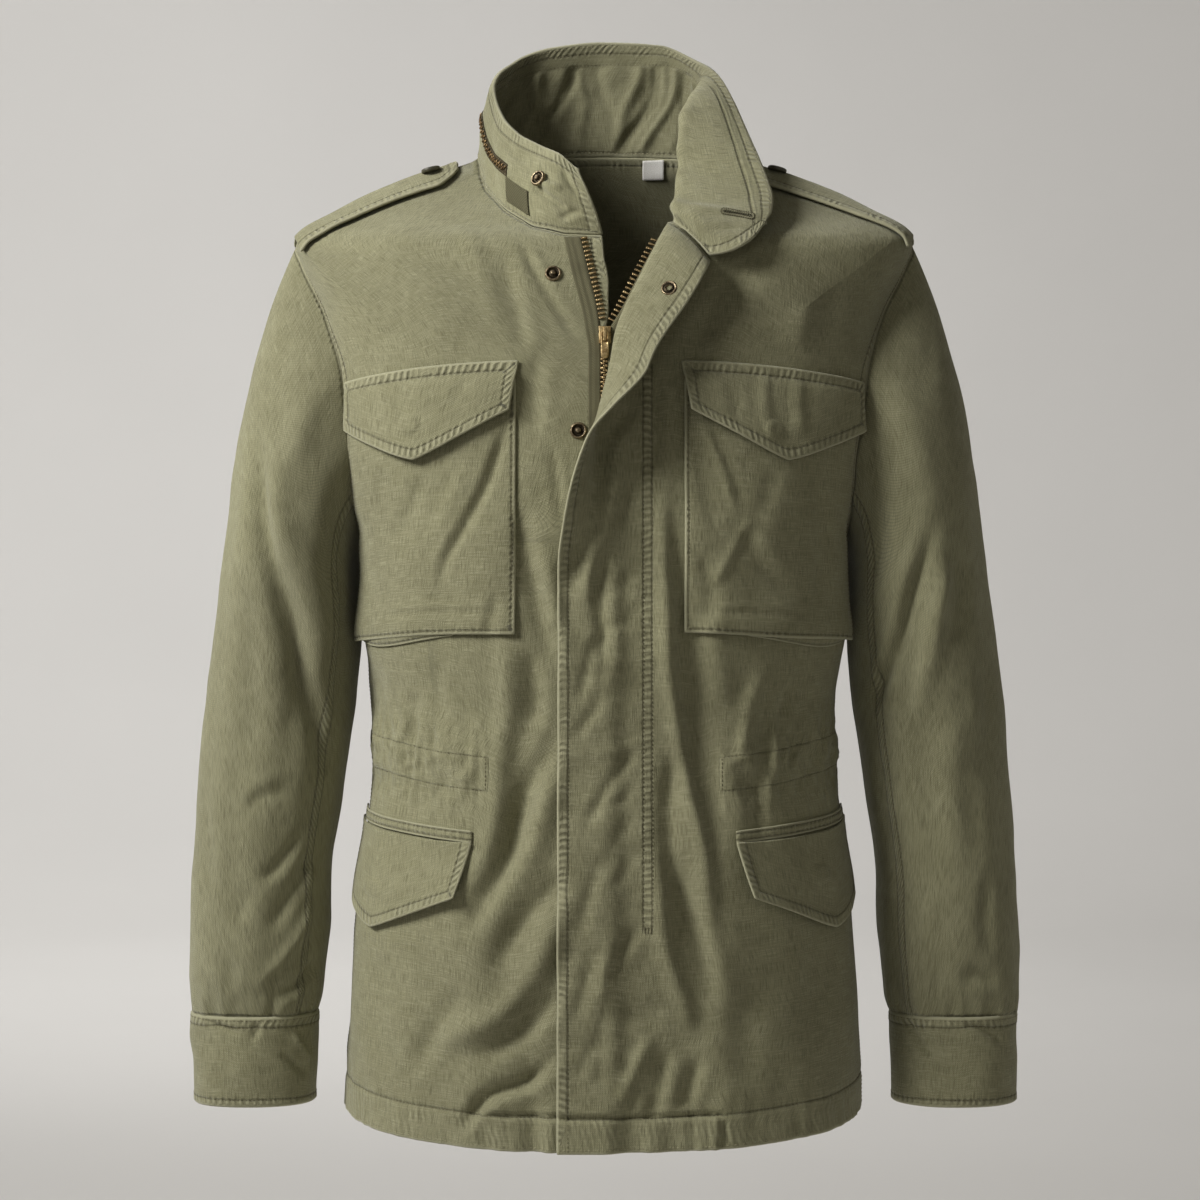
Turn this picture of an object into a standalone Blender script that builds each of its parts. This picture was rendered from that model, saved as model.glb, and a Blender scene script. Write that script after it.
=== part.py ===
"""Worn-shape field jacket: unlined cotton body, set-in sleeves, gathered cuffs, stand collar,
four flapped pockets, shoulder loops and a front zip under a storm fly turned out at the top.

Tables are in millimetres and degrees; objects are built in metres. +Z is up and the front faces
-Y, so +X is the wearer's left. The origin is where the shoulders carry the jacket.
"""
import math

import bpy
import numpy as np
from mathutils import Vector
from mathutils.bvhtree import BVHTree

MM = 0.001
CLOTH = 1.5            # wall of one layer of cloth
DOUBLE = 2.2           # wall of a faced or folded piece
SEAM = 0.3             # gap between neighbouring pieces
SQUARE = 2.4           # superellipse power of every body section

NECK_Z = 8.0           # shoulder seam at the neck
TIP_Z = -62.0          # shoulder seam at the sleeve
NECK_X = 97.0
UNDERARM_Z = -290.0
HEM_SIDE_Z = -727.0
HEM_FRONT_DROP = 13.0
HEM_BACK_DROP = 7.0
ZIP_OPEN_Z = -141.0    # height of the slider

# Body sections: height, half width, depth to the front, depth to the back.
SECTIONS = (
    (-745, 201, 143, 131),
    (-700, 199, 142, 130),
    (-618, 195, 138, 130),
    (-555, 190, 137, 126),
    (-505, 184, 133, 119),
    (-462, 179, 126, 107),
    (-420, 180, 124, 107),
    (-368, 185, 127, 113),
    (-294, 187, 127, 120),
    (-262, 196, 124, 121),
    (-215, 209, 121, 121),
    (-170, 216, 115, 118),
    (-121, 220, 106, 113),
    (-76, 235, 92, 105),
    (-62, 240, 83, 102),
    (-53, 234, 67, 99),
    (-39, 210, 49, 96),
    (-24, 182, 29, 92),
    (-9, 145, 14, 87),
    (8, 97, 4, 80),
    (20, 97, 4, 74),
)
# Armhole edge: height, turn from the centre front, turn from the centre back.
ARMHOLE = (
    (-290, 90, 90),
    (-284, 83, 81.7),
    (-275, 77.8, 75.4),
    (-262, 73, 70.7),
    (-215, 65.3, 63.4),
    (-170, 64.8, 63.3),
    (-121, 73.5, 73.3),
    (-76, 84.7, 84.9),
    (-62, 90, 90),
)
# Neckline: distance from the middle, height in front, height at the back.
NECKLINE = (
    (0, -64, 19),
    (30, -62.6, 18.6),
    (54, -56, 17),
    (75.5, -40, 14.6),
    (91, -20, 11.4),
    (96.6, 0, 8.6),
    (97, 8, 8),
)
# Centre fronts: height, edge of the right front, fold line of the left front.
CENTRE_EDGES = (
    (-745, -3, 0),
    (-215, -3, 1),
    (-195, -3, 4),
    (-175, -3, 8),
    (-160, -2, 11),
    (-141, 0, 14),
    (-123, 3, 20),
    (-100, 3, 31),
    (-80, 0, 41),
    (-57, -2, 53),
)
# Storm fly: height, width, turn out of the front, drop of its free edge.
FLY = (
    (-745, 34, 0, 0),
    (-330, 34, 0, 0),
    (-280, 35, 36, 0),
    (-244, 36, 58, 2),
    (-207, 37, 85, 6),
    (-189, 38, 106, 8),
    (-153, 41, 142, 14),
    (-100, 45, 150, 24),
    (-57, 48, 140, 34),
)
FLY_RISE = 5.0         # the fly lies this far over the right front
FLY_ROLL = 12.0        # length of cloth in its fold

# Folds of the body: first distance from the middle (+ is the wearer's left) and height, second
# distance and height, half width, depth (- is a trough).
FRONT_FOLDS = (
    (-72, -375, -50, -760, 15, -7),
    (-112, -385, -84, -760, 18, 6),
    (-160, -400, -122, -760, 17, -6),
    (-60, -180, -118, -345, 16, -4),
    (52, -330, 62, -760, 13, -5),
    (84, -380, 92, -760, 17, 5),
    (128, -585, 134, -760, 15, -6),
    (60, -175, 112, -330, 16, -4),
    (150, -370, 158, -520, 14, -3),
)
BACK_FOLDS = (
    (-95, -150, -120, -420, 16, -5),
    (95, -150, 120, -420, 16, -5),
    (-30, -470, -42, -760, 18, -6),
    (38, -480, 26, -760, 18, -6),
    (-100, -480, -118, -760, 20, -6),
    (104, -470, 116, -760, 20, -6),
    (-64, -500, -78, -760, 18, 4),
    (70, -500, 72, -760, 18, 4),
)
WAIST_Z = -458.0
GATHER_PITCH = 41.0
GATHER_DEPTH = 1.8
GATHER_REACH = 34.0


def smooth(value):
    """Ease from 0 to 1."""
    value = np.clip(value, 0.0, 1.0)
    return value * value * (3 - 2 * value)


def column(table, index, where):
    """Read a column of a table at a height, with a curve that never overshoots the rows."""
    rows = np.array(sorted(table), dtype=float)
    xs, ys = rows[:, 0], rows[:, index]
    step = np.diff(xs)
    slope = np.diff(ys) / step
    tangent = np.zeros(len(xs))
    tangent[0], tangent[-1] = slope[0], slope[-1]
    rising = slope[:-1] * slope[1:] > 0
    mean = 2 * slope[:-1] * slope[1:] / np.where(rising, slope[:-1] + slope[1:], 1)
    tangent[1:-1] = np.where(rising, mean, 0)
    where = np.clip(where, xs[0], xs[-1])
    i = np.clip(np.searchsorted(xs, where) - 1, 0, len(step) - 1)
    s = (where - xs[i]) / step[i]
    return (ys[i] * (1 + 2 * s) * (1 - s) ** 2 + ys[i + 1] * s * s * (3 - 2 * s)
            + step[i] * s * (1 - s) * (tangent[i] * (1 - s) - tangent[i + 1] * s))


def power(value, exponent):
    return np.sign(value) * np.abs(value) ** exponent


def body(z, turn):
    """Point of the plain body form; turn is 0 at the centre front and +90 at the left side."""
    z, turn = np.broadcast_arrays(np.asarray(z, float), np.asarray(turn, float))
    angle = np.radians(turn)
    depth = np.where(np.abs(turn) <= 90, column(SECTIONS, 2, z), column(SECTIONS, 3, z))
    x = column(SECTIONS, 1, z) * power(np.sin(angle), 2 / SQUARE)
    y = -depth * power(np.cos(angle), 2 / SQUARE)
    return np.stack((x, y, z), axis=-1)


def body_normal(z, turn):
    z, turn = np.broadcast_arrays(np.asarray(z, float), np.asarray(turn, float))
    index = np.where(np.abs(turn) <= 90, 2, 3)
    half = column(SECTIONS, 1, z)
    depth = np.where(index == 2, column(SECTIONS, 2, z), column(SECTIONS, 3, z))
    half_up, half_down = column(SECTIONS, 1, z + 1), column(SECTIONS, 1, z - 1)
    depth_up = np.where(index == 2, column(SECTIONS, 2, z + 1), column(SECTIONS, 3, z + 1))
    depth_down = np.where(index == 2, column(SECTIONS, 2, z - 1), column(SECTIONS, 3, z - 1))
    point = body(z, turn)
    u, v = np.abs(point[..., 0]) / half, np.abs(point[..., 1]) / depth
    spread = u ** SQUARE * (half_up - half_down) / (2 * half)
    lean = v ** SQUARE * (depth_up - depth_down) / (2 * depth)
    normal = np.stack((np.sign(point[..., 0]) * u ** (SQUARE - 1) / half,
                       np.sign(point[..., 1]) * v ** (SQUARE - 1) / depth,
                       -(spread + lean)), axis=-1)
    return normal / np.linalg.norm(normal, axis=-1, keepdims=True)


def turn_at_x(x, z):
    """Turn whose point on the body form lies at a distance x from the middle."""
    ratio = np.clip(np.abs(x) / column(SECTIONS, 1, z), 0, 1)
    return np.sign(x) * np.degrees(np.arcsin(ratio ** (SQUARE / 2)))


def turn_at_girth(girth, z):
    """Turn at a distance round the body from the centre front."""
    girth, z = np.broadcast_arrays(np.asarray(girth, float), np.asarray(z, float))
    turns = np.linspace(0, 180, 121)
    path = body(z[..., None], turns)
    run = np.linalg.norm(np.diff(path[..., :2], axis=-2), axis=-1).cumsum(axis=-1)
    run = np.concatenate((np.zeros(run.shape[:-1] + (1,)), run), axis=-1)
    wanted = np.abs(girth)[..., None]
    i = np.clip((run < wanted).sum(axis=-1, keepdims=True) - 1, 0, len(turns) - 2)
    low = np.take_along_axis(run, i, -1)
    high = np.take_along_axis(run, i + 1, -1)
    part = ((wanted - low) / (high - low))[..., 0]
    return np.sign(girth) * (turns[i[..., 0]] + part * (turns[1] - turns[0]))


def folds(z, turn):
    """How far the cloth stands off the plain form."""
    point = body(z, turn)
    x = point[..., 0]
    front = np.abs(turn) <= 90
    fade = 1 - np.abs(np.sin(np.radians(turn))) ** 10
    total = np.zeros(x.shape)
    for table, mask in ((FRONT_FOLDS, front), (BACK_FOLDS, ~front)):
        for x0, z0, x1, z1, width, depth in table:
            along = (z - z0) / (z1 - z0)
            line = x0 + (x1 - x0) * along
            ends = smooth(along / 0.3) * smooth((1.3 - along) / 0.3)
            total += mask * ends * depth * np.exp(-((x - line) / width) ** 2)
    middle = np.where(front, smooth((np.abs(x) - 34) / 22), 1)
    waist = np.exp(-((z - WAIST_Z) / GATHER_REACH) ** 2)
    total += GATHER_DEPTH * waist * np.cos(math.tau * x / GATHER_PITCH)
    return total * middle * fade


def drape(z, turn, lift=0.0):
    """Point of the draped body cloth, moved out by lift."""
    out = folds(z, turn) + lift
    return body(z, turn) + body_normal(z, turn) * np.asarray(out)[..., None]


def grid_normals(grid, around):
    """Normals of a grid of points; around closes it over its columns."""
    if around:
        across = np.roll(grid, -1, axis=1) - np.roll(grid, 1, axis=1)
    else:
        across = np.gradient(grid, axis=1)
    along = np.gradient(grid, axis=0)
    normal = np.cross(across, along)
    return normal / np.linalg.norm(normal, axis=-1, keepdims=True)


def material(name, look):
    colour, roughness, metallic = look
    made = bpy.data.materials.new(name)
    made.use_nodes = True
    shader = made.node_tree.nodes["Principled BSDF"]
    shader.inputs["Base Color"].default_value = (*colour, 1)
    shader.inputs["Roughness"].default_value = roughness
    shader.inputs["Metallic"].default_value = metallic
    return made


# Looks: colour, roughness, metallic.
OLIVE = ((0.105, 0.098, 0.058), 0.9, 0.0)
OLIVE_DARK = ((0.075, 0.070, 0.042), 0.85, 0.0)
BRASS = ((0.36, 0.27, 0.14), 0.35, 1.0)
LABEL = ((0.78, 0.77, 0.72), 0.8, 0.0)


def add_object(name, points, faces, look, origin=(0, 0, 0)):
    """Make a closed solid from points in millimetres, facing outwards."""
    points = np.asarray(points, float) - np.asarray(origin, float)
    volume = sum(np.dot(points[a], np.cross(points[b], points[c])) for a, b, c in faces)
    if volume < 0:
        faces = [face[::-1] for face in faces]
    mesh = bpy.data.meshes.new(name)
    mesh.from_pydata([tuple(point) for point in points * MM], [], faces)
    mesh.validate()
    mesh.materials.append(material(name, look))
    made = bpy.data.objects.new(name, mesh)
    made.location = Vector(origin) * MM
    bpy.context.collection.objects.link(made)
    return made


def wall(name, outer, inward, thickness=CLOTH, look=OLIVE, around=False):
    """Close a grid of points into a wall, both of its layers split along the same diagonals."""
    inner = outer + inward * thickness
    rows, cols = outer.shape[:2]
    points = np.concatenate((outer.reshape(-1, 3), inner.reshape(-1, 3)))
    count = rows * cols
    faces = []

    def quad(a, b, c, d):
        faces.extend(((a, b, c), (a, c, d)))

    last = cols if around else cols - 1
    for row in range(rows - 1):
        for col in range(last):
            a = row * cols + col
            b = row * cols + (col + 1) % cols
            quad(a, b, b + cols, a + cols)
            quad(a + cols + count, b + cols + count, b + count, a + count)
    for col in range(last):
        a, b = col, (col + 1) % cols
        quad(b, a, a + count, b + count)
        a, b = a + (rows - 1) * cols, b + (rows - 1) * cols
        quad(a, b, b + count, a + count)
    if not around:
        for row in range(rows - 1):
            a, b = row * cols, (row + 1) * cols
            quad(a, b, b + count, a + count)
            a, b = a + cols - 1, b + cols - 1
            quad(b, a, a + count, b + count)
    return add_object(name, points, faces, look)


# ---------------------------------------------------------------- body panels
PANEL_COLS = 16
LOW_ROWS = 15
ARM_ROWS = 13


def panel_rows():
    """Shares of a panel's length, closer together above the underarm."""
    arm = (UNDERARM_Z - HEM_SIDE_Z) / (TIP_Z - HEM_SIDE_Z)
    low = np.linspace(0, arm, LOW_ROWS)
    return np.concatenate((low, np.linspace(arm, 1, ARM_ROWS)[1:]))


def neck_share(start_x):
    """Share of a panel's top edge that is neckline."""
    sideways = NECK_X - start_x
    return sideways / (sideways + 1.6 * (NECK_Z - TIP_Z))


def panel_shares(cols, start_x):
    """Column shares with one column at the neck point, and that column's index."""
    corner = neck_share(start_x)
    split = round(corner * (cols - 1))
    shares = np.concatenate((np.linspace(0, corner, split + 1),
                             np.linspace(corner, 1, cols - split)[1:]))
    return shares, split


def neck_height(x, back):
    rows = np.array(NECKLINE, dtype=float)
    return np.interp(np.abs(x), rows[:, 0], rows[:, 2 if back else 1])


def top_edge(share, start_x, back):
    """Height and turn along a panel's neckline, then its shoulder seam, from the middle out."""
    sideways = NECK_X - start_x
    down = TIP_Z - NECK_Z
    corner = neck_share(start_x)
    x = start_x + sideways * np.clip(share / corner, 0, 1)
    z = neck_height(x, back)
    outside = np.clip((share - corner) / (1 - corner), 0, 1)
    z = np.where(share > corner, NECK_Z + down * outside, z)
    turn = np.where(share > corner, 90, turn_at_x(np.minimum(x, NECK_X), z))
    if back:
        turn = np.where(share > corner, 90, np.degrees(np.arcsin(
            np.clip((x / column(SECTIONS, 1, z)) ** (SQUARE / 2), 0, 1))))
    return z, turn


def hem_height(turn):
    swing = np.cos(np.radians(turn))
    return HEM_SIDE_Z - np.where(swing > 0, HEM_FRONT_DROP, HEM_BACK_DROP) * np.abs(swing) ** 1.5


def panel_places(cols, rows, back, edge):
    """Heights and turns of a half panel; edge gives the x of its inner edge at a height."""
    start_x = 0 if back else edge(-57.0)
    share = panel_shares(cols, start_x)[0][None, :]
    v = np.asarray(rows)[:, None]
    z_top, turn_top = top_edge(share, start_x, back)
    low = 90 * share
    z_hem = hem_height(180 - low if back else low)
    z = z_hem + (z_top - z_hem) * v
    arm = 2 if back else 1

    def turn_low(height):
        inner = 0 if back else turn_at_x(edge(height), height)
        outer = np.where(height > UNDERARM_Z, column(ARMHOLE, arm, height), 90)
        return inner + (outer - inner) * share

    blend = smooth((v - 0.72) / 0.28)
    return z, turn_low(z) + blend * (turn_top - turn_low(z_top))


def edge_right(height):
    return -column(CENTRE_EDGES, 1, height)


def edge_left(height):
    return column(CENTRE_EDGES, 2, height)


def left_rise(x, z):
    """Rise of the left front towards its fold, so that the fly clears the right front."""
    return FLY_RISE * (1 - smooth((np.abs(x) - edge_left(z) - 2) / 16))


def fly_strip(z, share):
    """Points of the storm fly beside the left front's fold, at a share of its width."""
    width, out, drop = (column(FLY, i, z) for i in (1, 2, 3))
    start = drape(z, turn_at_x(edge_left(z), z), FLY_RISE)
    point = start.copy()
    steps = 24
    for step in range(steps):
        part = (step + 0.5) / steps
        angle = np.radians(out * smooth(part * share * width / FLY_ROLL))
        move = share * width / steps
        point[..., 0] -= np.cos(angle) * move
        point[..., 1] -= np.sin(angle) * move
    point[..., 2] -= share ** 1.6 * drop
    return point


FLY_SHARES = (1.0, 0.78, 0.56, 0.36, 0.2, 0.09)


def front_grid(cols, rows, left):
    """Outer points of a front panel and the directions into its wall."""
    z, turn = panel_places(cols, rows, False, edge_left if left else edge_right)
    side = 1 if left else -1
    rise = left_rise(body(z, turn)[..., 0], z) if left else 0.0
    grid = drape(z, side * turn, rise)
    inward = -body_normal(z, side * turn)
    grid[:, -1, 1] -= SEAM / 2
    if left:
        edge = z[:, 0]
        strip = [fly_strip(edge, np.full(edge.shape, share)) for share in FLY_SHARES]
        grid = np.concatenate((np.stack(strip, axis=1), grid), axis=1)
        turned = -grid_normals(grid, False)
        turned[:, len(FLY_SHARES) + 1:] = inward[:, 1:]
        inward = turned
    return grid, inward


def back_grid(cols, rows):
    z, turn = panel_places(cols, rows, True, None)
    turn = np.concatenate((turn[:, ::-1] - 180, 180 - turn[:, 1:]), axis=1)
    z = np.concatenate((z[:, ::-1], z[:, 1:]), axis=1)
    grid = drape(z, turn)
    grid[:, (0, -1), 1] += SEAM / 2
    return grid, -body_normal(z, turn)


# -------------------------------------------------------------- sleeves, cuffs
# Sleeve rings: height, distance from the middle, half width, half depth, centre towards the back.
SLEEVE_RINGS = (
    (-368, 247, 57, 66, 0),
    (-431, 254, 58, 63, 0),
    (-490, 260, 56.5, 60, -2),
    (-540, 265, 54, 57, -5),
    (-584, 266.5, 54.5, 54, -8),
    (-622, 268.5, 52.5, 50, -11),
    (-643, 269.5, 50.5, 46, -12),
    (-655, 270.5, 48, 42.5, -13),
)
CUFF_RINGS = (
    (-655.4, 270.5, 49, 43.5, -13),
    (-668, 270.5, 49, 43.5, -13),
    (-705, 270.5, 48, 42.5, -14),
    (-722, 270.5, 47.5, 42, -14),
)
SLEEVE_COLS = 18
CAP_ROWS = 10
LOWER_ROWS = 13
SLEEVE_SQUARE = 2.2
# Sleeve folds: turn (0 outside, 90 in front) and height at both ends, half width, depth.
SLEEVE_FOLDS = (
    (62, -250, 78, -640, 13, -4.5),
    (100, -270, 108, -600, 12, -4),
    (30, -180, 44, -520, 12, -3.5),
    (135, -330, 128, -560, 12, -3),
    (-50, -230, -74, -640, 14, -4.5),
    (-105, -280, -98, -600, 13, -4),
    (-20, -330, -30, -640, 13, -3),
)
CUFF_WAVES = 9
CUFF_WAVE_DEPTH = 1.8
CUFF_WAVE_REACH = 42.0


def ring(table, z, turn):
    centre, half, depth, back = (column(table, i, z) for i in (1, 2, 3, 4))
    angle = np.radians(turn)
    x = centre + half * power(np.cos(angle), 2 / SLEEVE_SQUARE)
    y = back - depth * power(np.sin(angle), 2 / SLEEVE_SQUARE)
    return np.stack(np.broadcast_arrays(x, y, z), axis=-1)


def sleeve_folds(z, turn):
    total = np.zeros(np.broadcast(z, turn).shape)
    for turn0, z0, turn1, z1, width, depth in SLEEVE_FOLDS:
        along = (z - z0) / (z1 - z0)
        away = (turn - (turn0 + (turn1 - turn0) * along) + 180) % 360 - 180
        ends = smooth(along / 0.3) * smooth((1.25 - along) / 0.25)
        total += ends * depth * np.exp(-(away / width) ** 2)
    waves = CUFF_WAVE_DEPTH * np.exp((SLEEVE_RINGS[-1][0] - z) / CUFF_WAVE_REACH)
    return total + waves * np.cos(CUFF_WAVES * np.radians(turn))


def armhole_loop(turn):
    """The sleeve's seam on the body's left side, from the shoulder tip round by the front."""
    z = TIP_Z + (UNDERARM_Z - TIP_Z) * (1 - np.cos(np.radians(turn))) / 2
    front = column(ARMHOLE, 1, z)
    back = 180 - column(ARMHOLE, 2, z)
    return drape(z, np.where(np.sin(np.radians(turn)) >= 0, front, back))


def sleeve_grid(turns, cap_shares, lower_heights):
    """Outer points of the left sleeve: fanned cap rings, then level rings."""
    turn = turns[None, :]
    start = armhole_loop(turns)[None]
    start[..., 0] += SEAM + 0.4
    top = SLEEVE_RINGS[0][0]
    end = ring(SLEEVE_RINGS, np.array([[float(top)]]), turn)
    below = ring(SLEEVE_RINGS, np.array([[top - 12.0]]), turn)
    reach = np.linalg.norm(end - start, axis=-1, keepdims=True)
    forward = np.sin(np.radians(turn))
    leave = np.stack((0.42 + 0.25 * forward ** 2, -0.35 * forward,
                      -0.9 + 0.35 * forward ** 2), axis=-1)
    leave *= reach / np.linalg.norm(leave, axis=-1, keepdims=True)
    arrive = (below - end) * reach / np.linalg.norm(below - end, axis=-1, keepdims=True)
    s = cap_shares[:, None, None]
    cap = (start * (1 + 2 * s) * (1 - s) ** 2 + leave * s * (1 - s) ** 2
           + end * s * s * (3 - 2 * s) - arrive * s * s * (1 - s))
    lower = ring(SLEEVE_RINGS, lower_heights[:, None], turn)
    grid = np.concatenate((cap, lower))
    fade = np.concatenate((smooth(cap_shares * 2), np.ones(len(lower_heights))))[:, None]
    out = grid_normals(grid, True)
    grid = grid + out * (sleeve_folds(grid[..., 2], turn) * fade)[..., None]
    grid[-1, :, 2] = SLEEVE_RINGS[-1][0]
    return grid


def mirrored(grid, side):
    return grid * np.array((side, 1, 1))


def tube_inward(grid, loop):
    """Directions into a tube's wall: level at its open end, in the seam's plane at its start."""
    inward = -grid_normals(grid, True)
    inward[-1, :, 2] = 0
    if loop:
        inward[0, :, 0] = 0
    else:
        inward[0, :, 2] = 0
    return inward / np.linalg.norm(inward, axis=-1, keepdims=True)


def build_sleeves():
    turns = np.arange(SLEEVE_COLS) * 360 / SLEEVE_COLS
    caps = np.linspace(0, 1, CAP_ROWS)
    lower = np.linspace(SLEEVE_RINGS[0][0], SLEEVE_RINGS[-1][0], LOWER_ROWS)[1:]
    grid = sleeve_grid(turns, caps, lower)
    inward = tube_inward(grid, True)
    heights = np.array([row[0] for row in CUFF_RINGS], float)[:, None]
    cuff = ring(CUFF_RINGS, heights, turns[None, :])
    cuff_inward = tube_inward(cuff, False)
    for name, side in (("right", -1), ("left", 1)):
        wall("sleeve_" + name, mirrored(grid, side), mirrored(inward, side), around=True)
        wall("cuff_" + name, mirrored(cuff, side), mirrored(cuff_inward, side), DOUBLE,
             around=True)


# ------------------------------------------------------------------------ collar
# Collar: walk along its seam from the right front's end, its middle, its free edge.
COLLAR = (
    (0, -10, -86, -38, -21, -80, -13),
    (34, -36, -81, -32, -33, -70, -1),
    (54, -55, -66, -24, -49, -52, 9),
    (86, -75, -44, -8, -66, -34, 21),
    (123, -89, -18, 10, -80, -10, 39),
    (161, -96, 12, 40, -88, 25, 70),
    (202, -85, 50, 54, -75, 58, 92),
    (240, -56, 74, 64, -45, 78, 107),
    (301, 0, 84, 67, 0, 86, 113),
    (362, 55, 74, 66, 46, 82, 110),
    (400, 80, 53, 60, 76, 59, 93),
    (420, 77, 37, 62, 89, 37, 78),
    (441, 71, 20, 59, 100, 14, 56),
    (478, 62, -6, 34, 111, -12, 24),
    (515, 60, -32, -4, 120, -36, -3),
    (547, 63, -64, -38, 127, -58, -32),
    (576, 84, -86, -56, 126, -68, -44),
    (604, 106, -101, -78, 121, -79, -57),
)
COLLAR_ROWS = 6
COLLAR_GAP = 1.25
COLLAR_PITCH = 16.0
COLLAR_FLY_RISE = 1.6
COLLAR_FLY_COLUMNS = 3   # columns of the fly that carry the collar, from its free edge


def neck_points(points_right, points_back, points_left, fly_points):
    """The collar's seam, in order from the right front's end to the fly's free edge."""
    return np.concatenate((points_right, points_back[1:-1], points_left[::-1], fly_points))


def collar_seam(seam, pitch):
    """Add points along the seam's straight stretches, one for each pitch of its length."""
    points = [seam[:1]]
    for start, end in zip(seam[:-1], seam[1:]):
        count = max(1, math.ceil(np.linalg.norm(end - start) / pitch))
        points.append(start + (end - start) * np.linspace(0, 1, count + 1)[1:, None])
    return np.concatenate(points)


def collar_walk(seam):
    """Distance along the seam at each of its points, to the scale of the collar's table."""
    walk = np.linalg.norm(np.diff(seam, axis=0), axis=-1).cumsum()
    return np.concatenate(([0], walk)) * COLLAR[-1][0] / walk[-1]


def collar_surface(seam, walk, rows):
    """Points of the collar above points of its seam; rows are shares of its height."""
    middle = np.stack([column(COLLAR, i, walk) for i in (1, 2, 3)], axis=-1)
    edge = np.stack([column(COLLAR, i, walk) for i in (4, 5, 6)], axis=-1)
    rise = middle - seam
    seam = seam + rise * (COLLAR_GAP / np.linalg.norm(rise, axis=-1, keepdims=True))
    s = np.asarray(rows)[:, None, None]
    return (seam * (1 - s) * (1 - 2 * s) + middle * 4 * s * (1 - s) + edge * s * (2 * s - 1))


def build_collar(rows_of_panels):
    right, _ = front_grid(PANEL_COLS, rows_of_panels, False)
    left, _ = front_grid(PANEL_COLS, rows_of_panels, True)
    back, _ = back_grid(PANEL_COLS - 2, rows_of_panels)
    split_right = panel_shares(PANEL_COLS, edge_right(-57.0))[1]
    split_left = panel_shares(PANEL_COLS, edge_left(-57.0))[1]
    split_back = panel_shares(PANEL_COLS - 2, 0)[1]
    middle = PANEL_COLS - 3
    fly = len(FLY_SHARES)
    seam = neck_points(right[-1, :split_right + 1],
                       back[-1, middle - split_back:middle + split_back + 1],
                       left[-1, fly:fly + split_left + 1], left[-1, :COLLAR_FLY_COLUMNS][::-1] + (0, 0, COLLAR_FLY_RISE))
    seam = collar_seam(seam, COLLAR_PITCH)
    grid = collar_surface(seam, collar_walk(seam), np.linspace(0, 1, COLLAR_ROWS))
    inward = grid_normals(grid, False)
    inward[0, :, 2] = 0
    inward /= np.linalg.norm(inward, axis=-1, keepdims=True)
    wall("collar", grid, inward, DOUBLE)
    return seam


def build_body():
    rows = panel_rows()
    for name, left in (("front_right", False), ("front_left", True)):
        grid, inward = front_grid(PANEL_COLS, rows, left)
        wall(name, grid, inward)
    grid, inward = back_grid(PANEL_COLS - 2, rows)
    wall("back", grid, inward)
    return build_collar(rows)


# ------------------------------------------------------- pieces laid on others
LAID = 0.5             # least gap under a laid piece


def cover(names):
    """Surface of the named objects, in millimetres."""
    points, faces = [], []
    for name in names:
        made = bpy.data.objects[name]
        start = len(points)
        points += [(made.location + vertex.co) / MM for vertex in made.data.vertices]
        faces += [[start + i for i in face.vertices] for face in made.data.polygons]
    return BVHTree.FromPolygons(points, faces)


def lay(grid, out, tree, gap=LAID, reach=22.0, parts=5):
    """Move a grid of points out until each of its cells clears the surface under it."""
    rows, cols = grid.shape[:2]
    lift = np.full((rows, cols), -reach)
    for row in range(rows - 1):
        for col in range(cols - 1):
            cell = grid[row:row + 2, col:col + 2]
            way = out[row:row + 2, col:col + 2]
            need = -reach
            for i in range(parts + 1):
                for j in range(parts + 1):
                    u, v = i / parts, j / parts
                    mix = np.array([[(1 - u) * (1 - v), (1 - u) * v], [u * (1 - v), u * v]])
                    point = (cell * mix[..., None]).sum(axis=(0, 1))
                    normal = (way * mix[..., None]).sum(axis=(0, 1))
                    start = Vector(point + normal * reach)
                    hit = tree.ray_cast(start, Vector(-normal), 2 * reach)
                    if hit[0] is not None:
                        need = max(need, reach - hit[3])
            block = lift[row:row + 2, col:col + 2]
            np.maximum(block, need, out=block)
    lift = np.where(lift > -reach, lift, 0) + gap
    return grid + out * lift[..., None]


def seat(point, normal, tree, gap=SEAM):
    """Foot of a turned piece whose whole base clears the surface under it."""
    normal = Vector(normal).normalized()
    across = normal.orthogonal().normalized()
    other = normal.cross(across)
    best = -30.0
    for ring_radius in (0, 3.2, 6.3, 7.6):
        for i in range(12):
            angle = math.tau * i / 12
            spot = Vector(point) + (across * math.cos(angle)
                                    + other * math.sin(angle)) * ring_radius
            hit = tree.ray_cast(spot + normal * 20, -normal, 40)
            if hit[0] is not None:
                best = max(best, 20 - hit[3])
    return Vector(point) + normal * (best + gap)


def patch(corners_s, corners_z, rows, cols, side):
    """Heights, turns, points and normals of a four-sided patch on the body.

    Corners are listed inner top, outer top, inner bottom, outer bottom.
    """
    u = np.linspace(0, 1, cols)[None, :]
    v = np.linspace(0, 1, rows)[:, None]

    def blend(values):
        return ((values[0] * (1 - u) + values[1] * u) * (1 - v)
                + (values[2] * (1 - u) + values[3] * u) * v)

    z = blend(corners_z)
    turn = side * turn_at_girth(blend(corners_s), z)
    return z, turn, u, v


SIDES = (("right", -1), ("left", 1))
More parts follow.
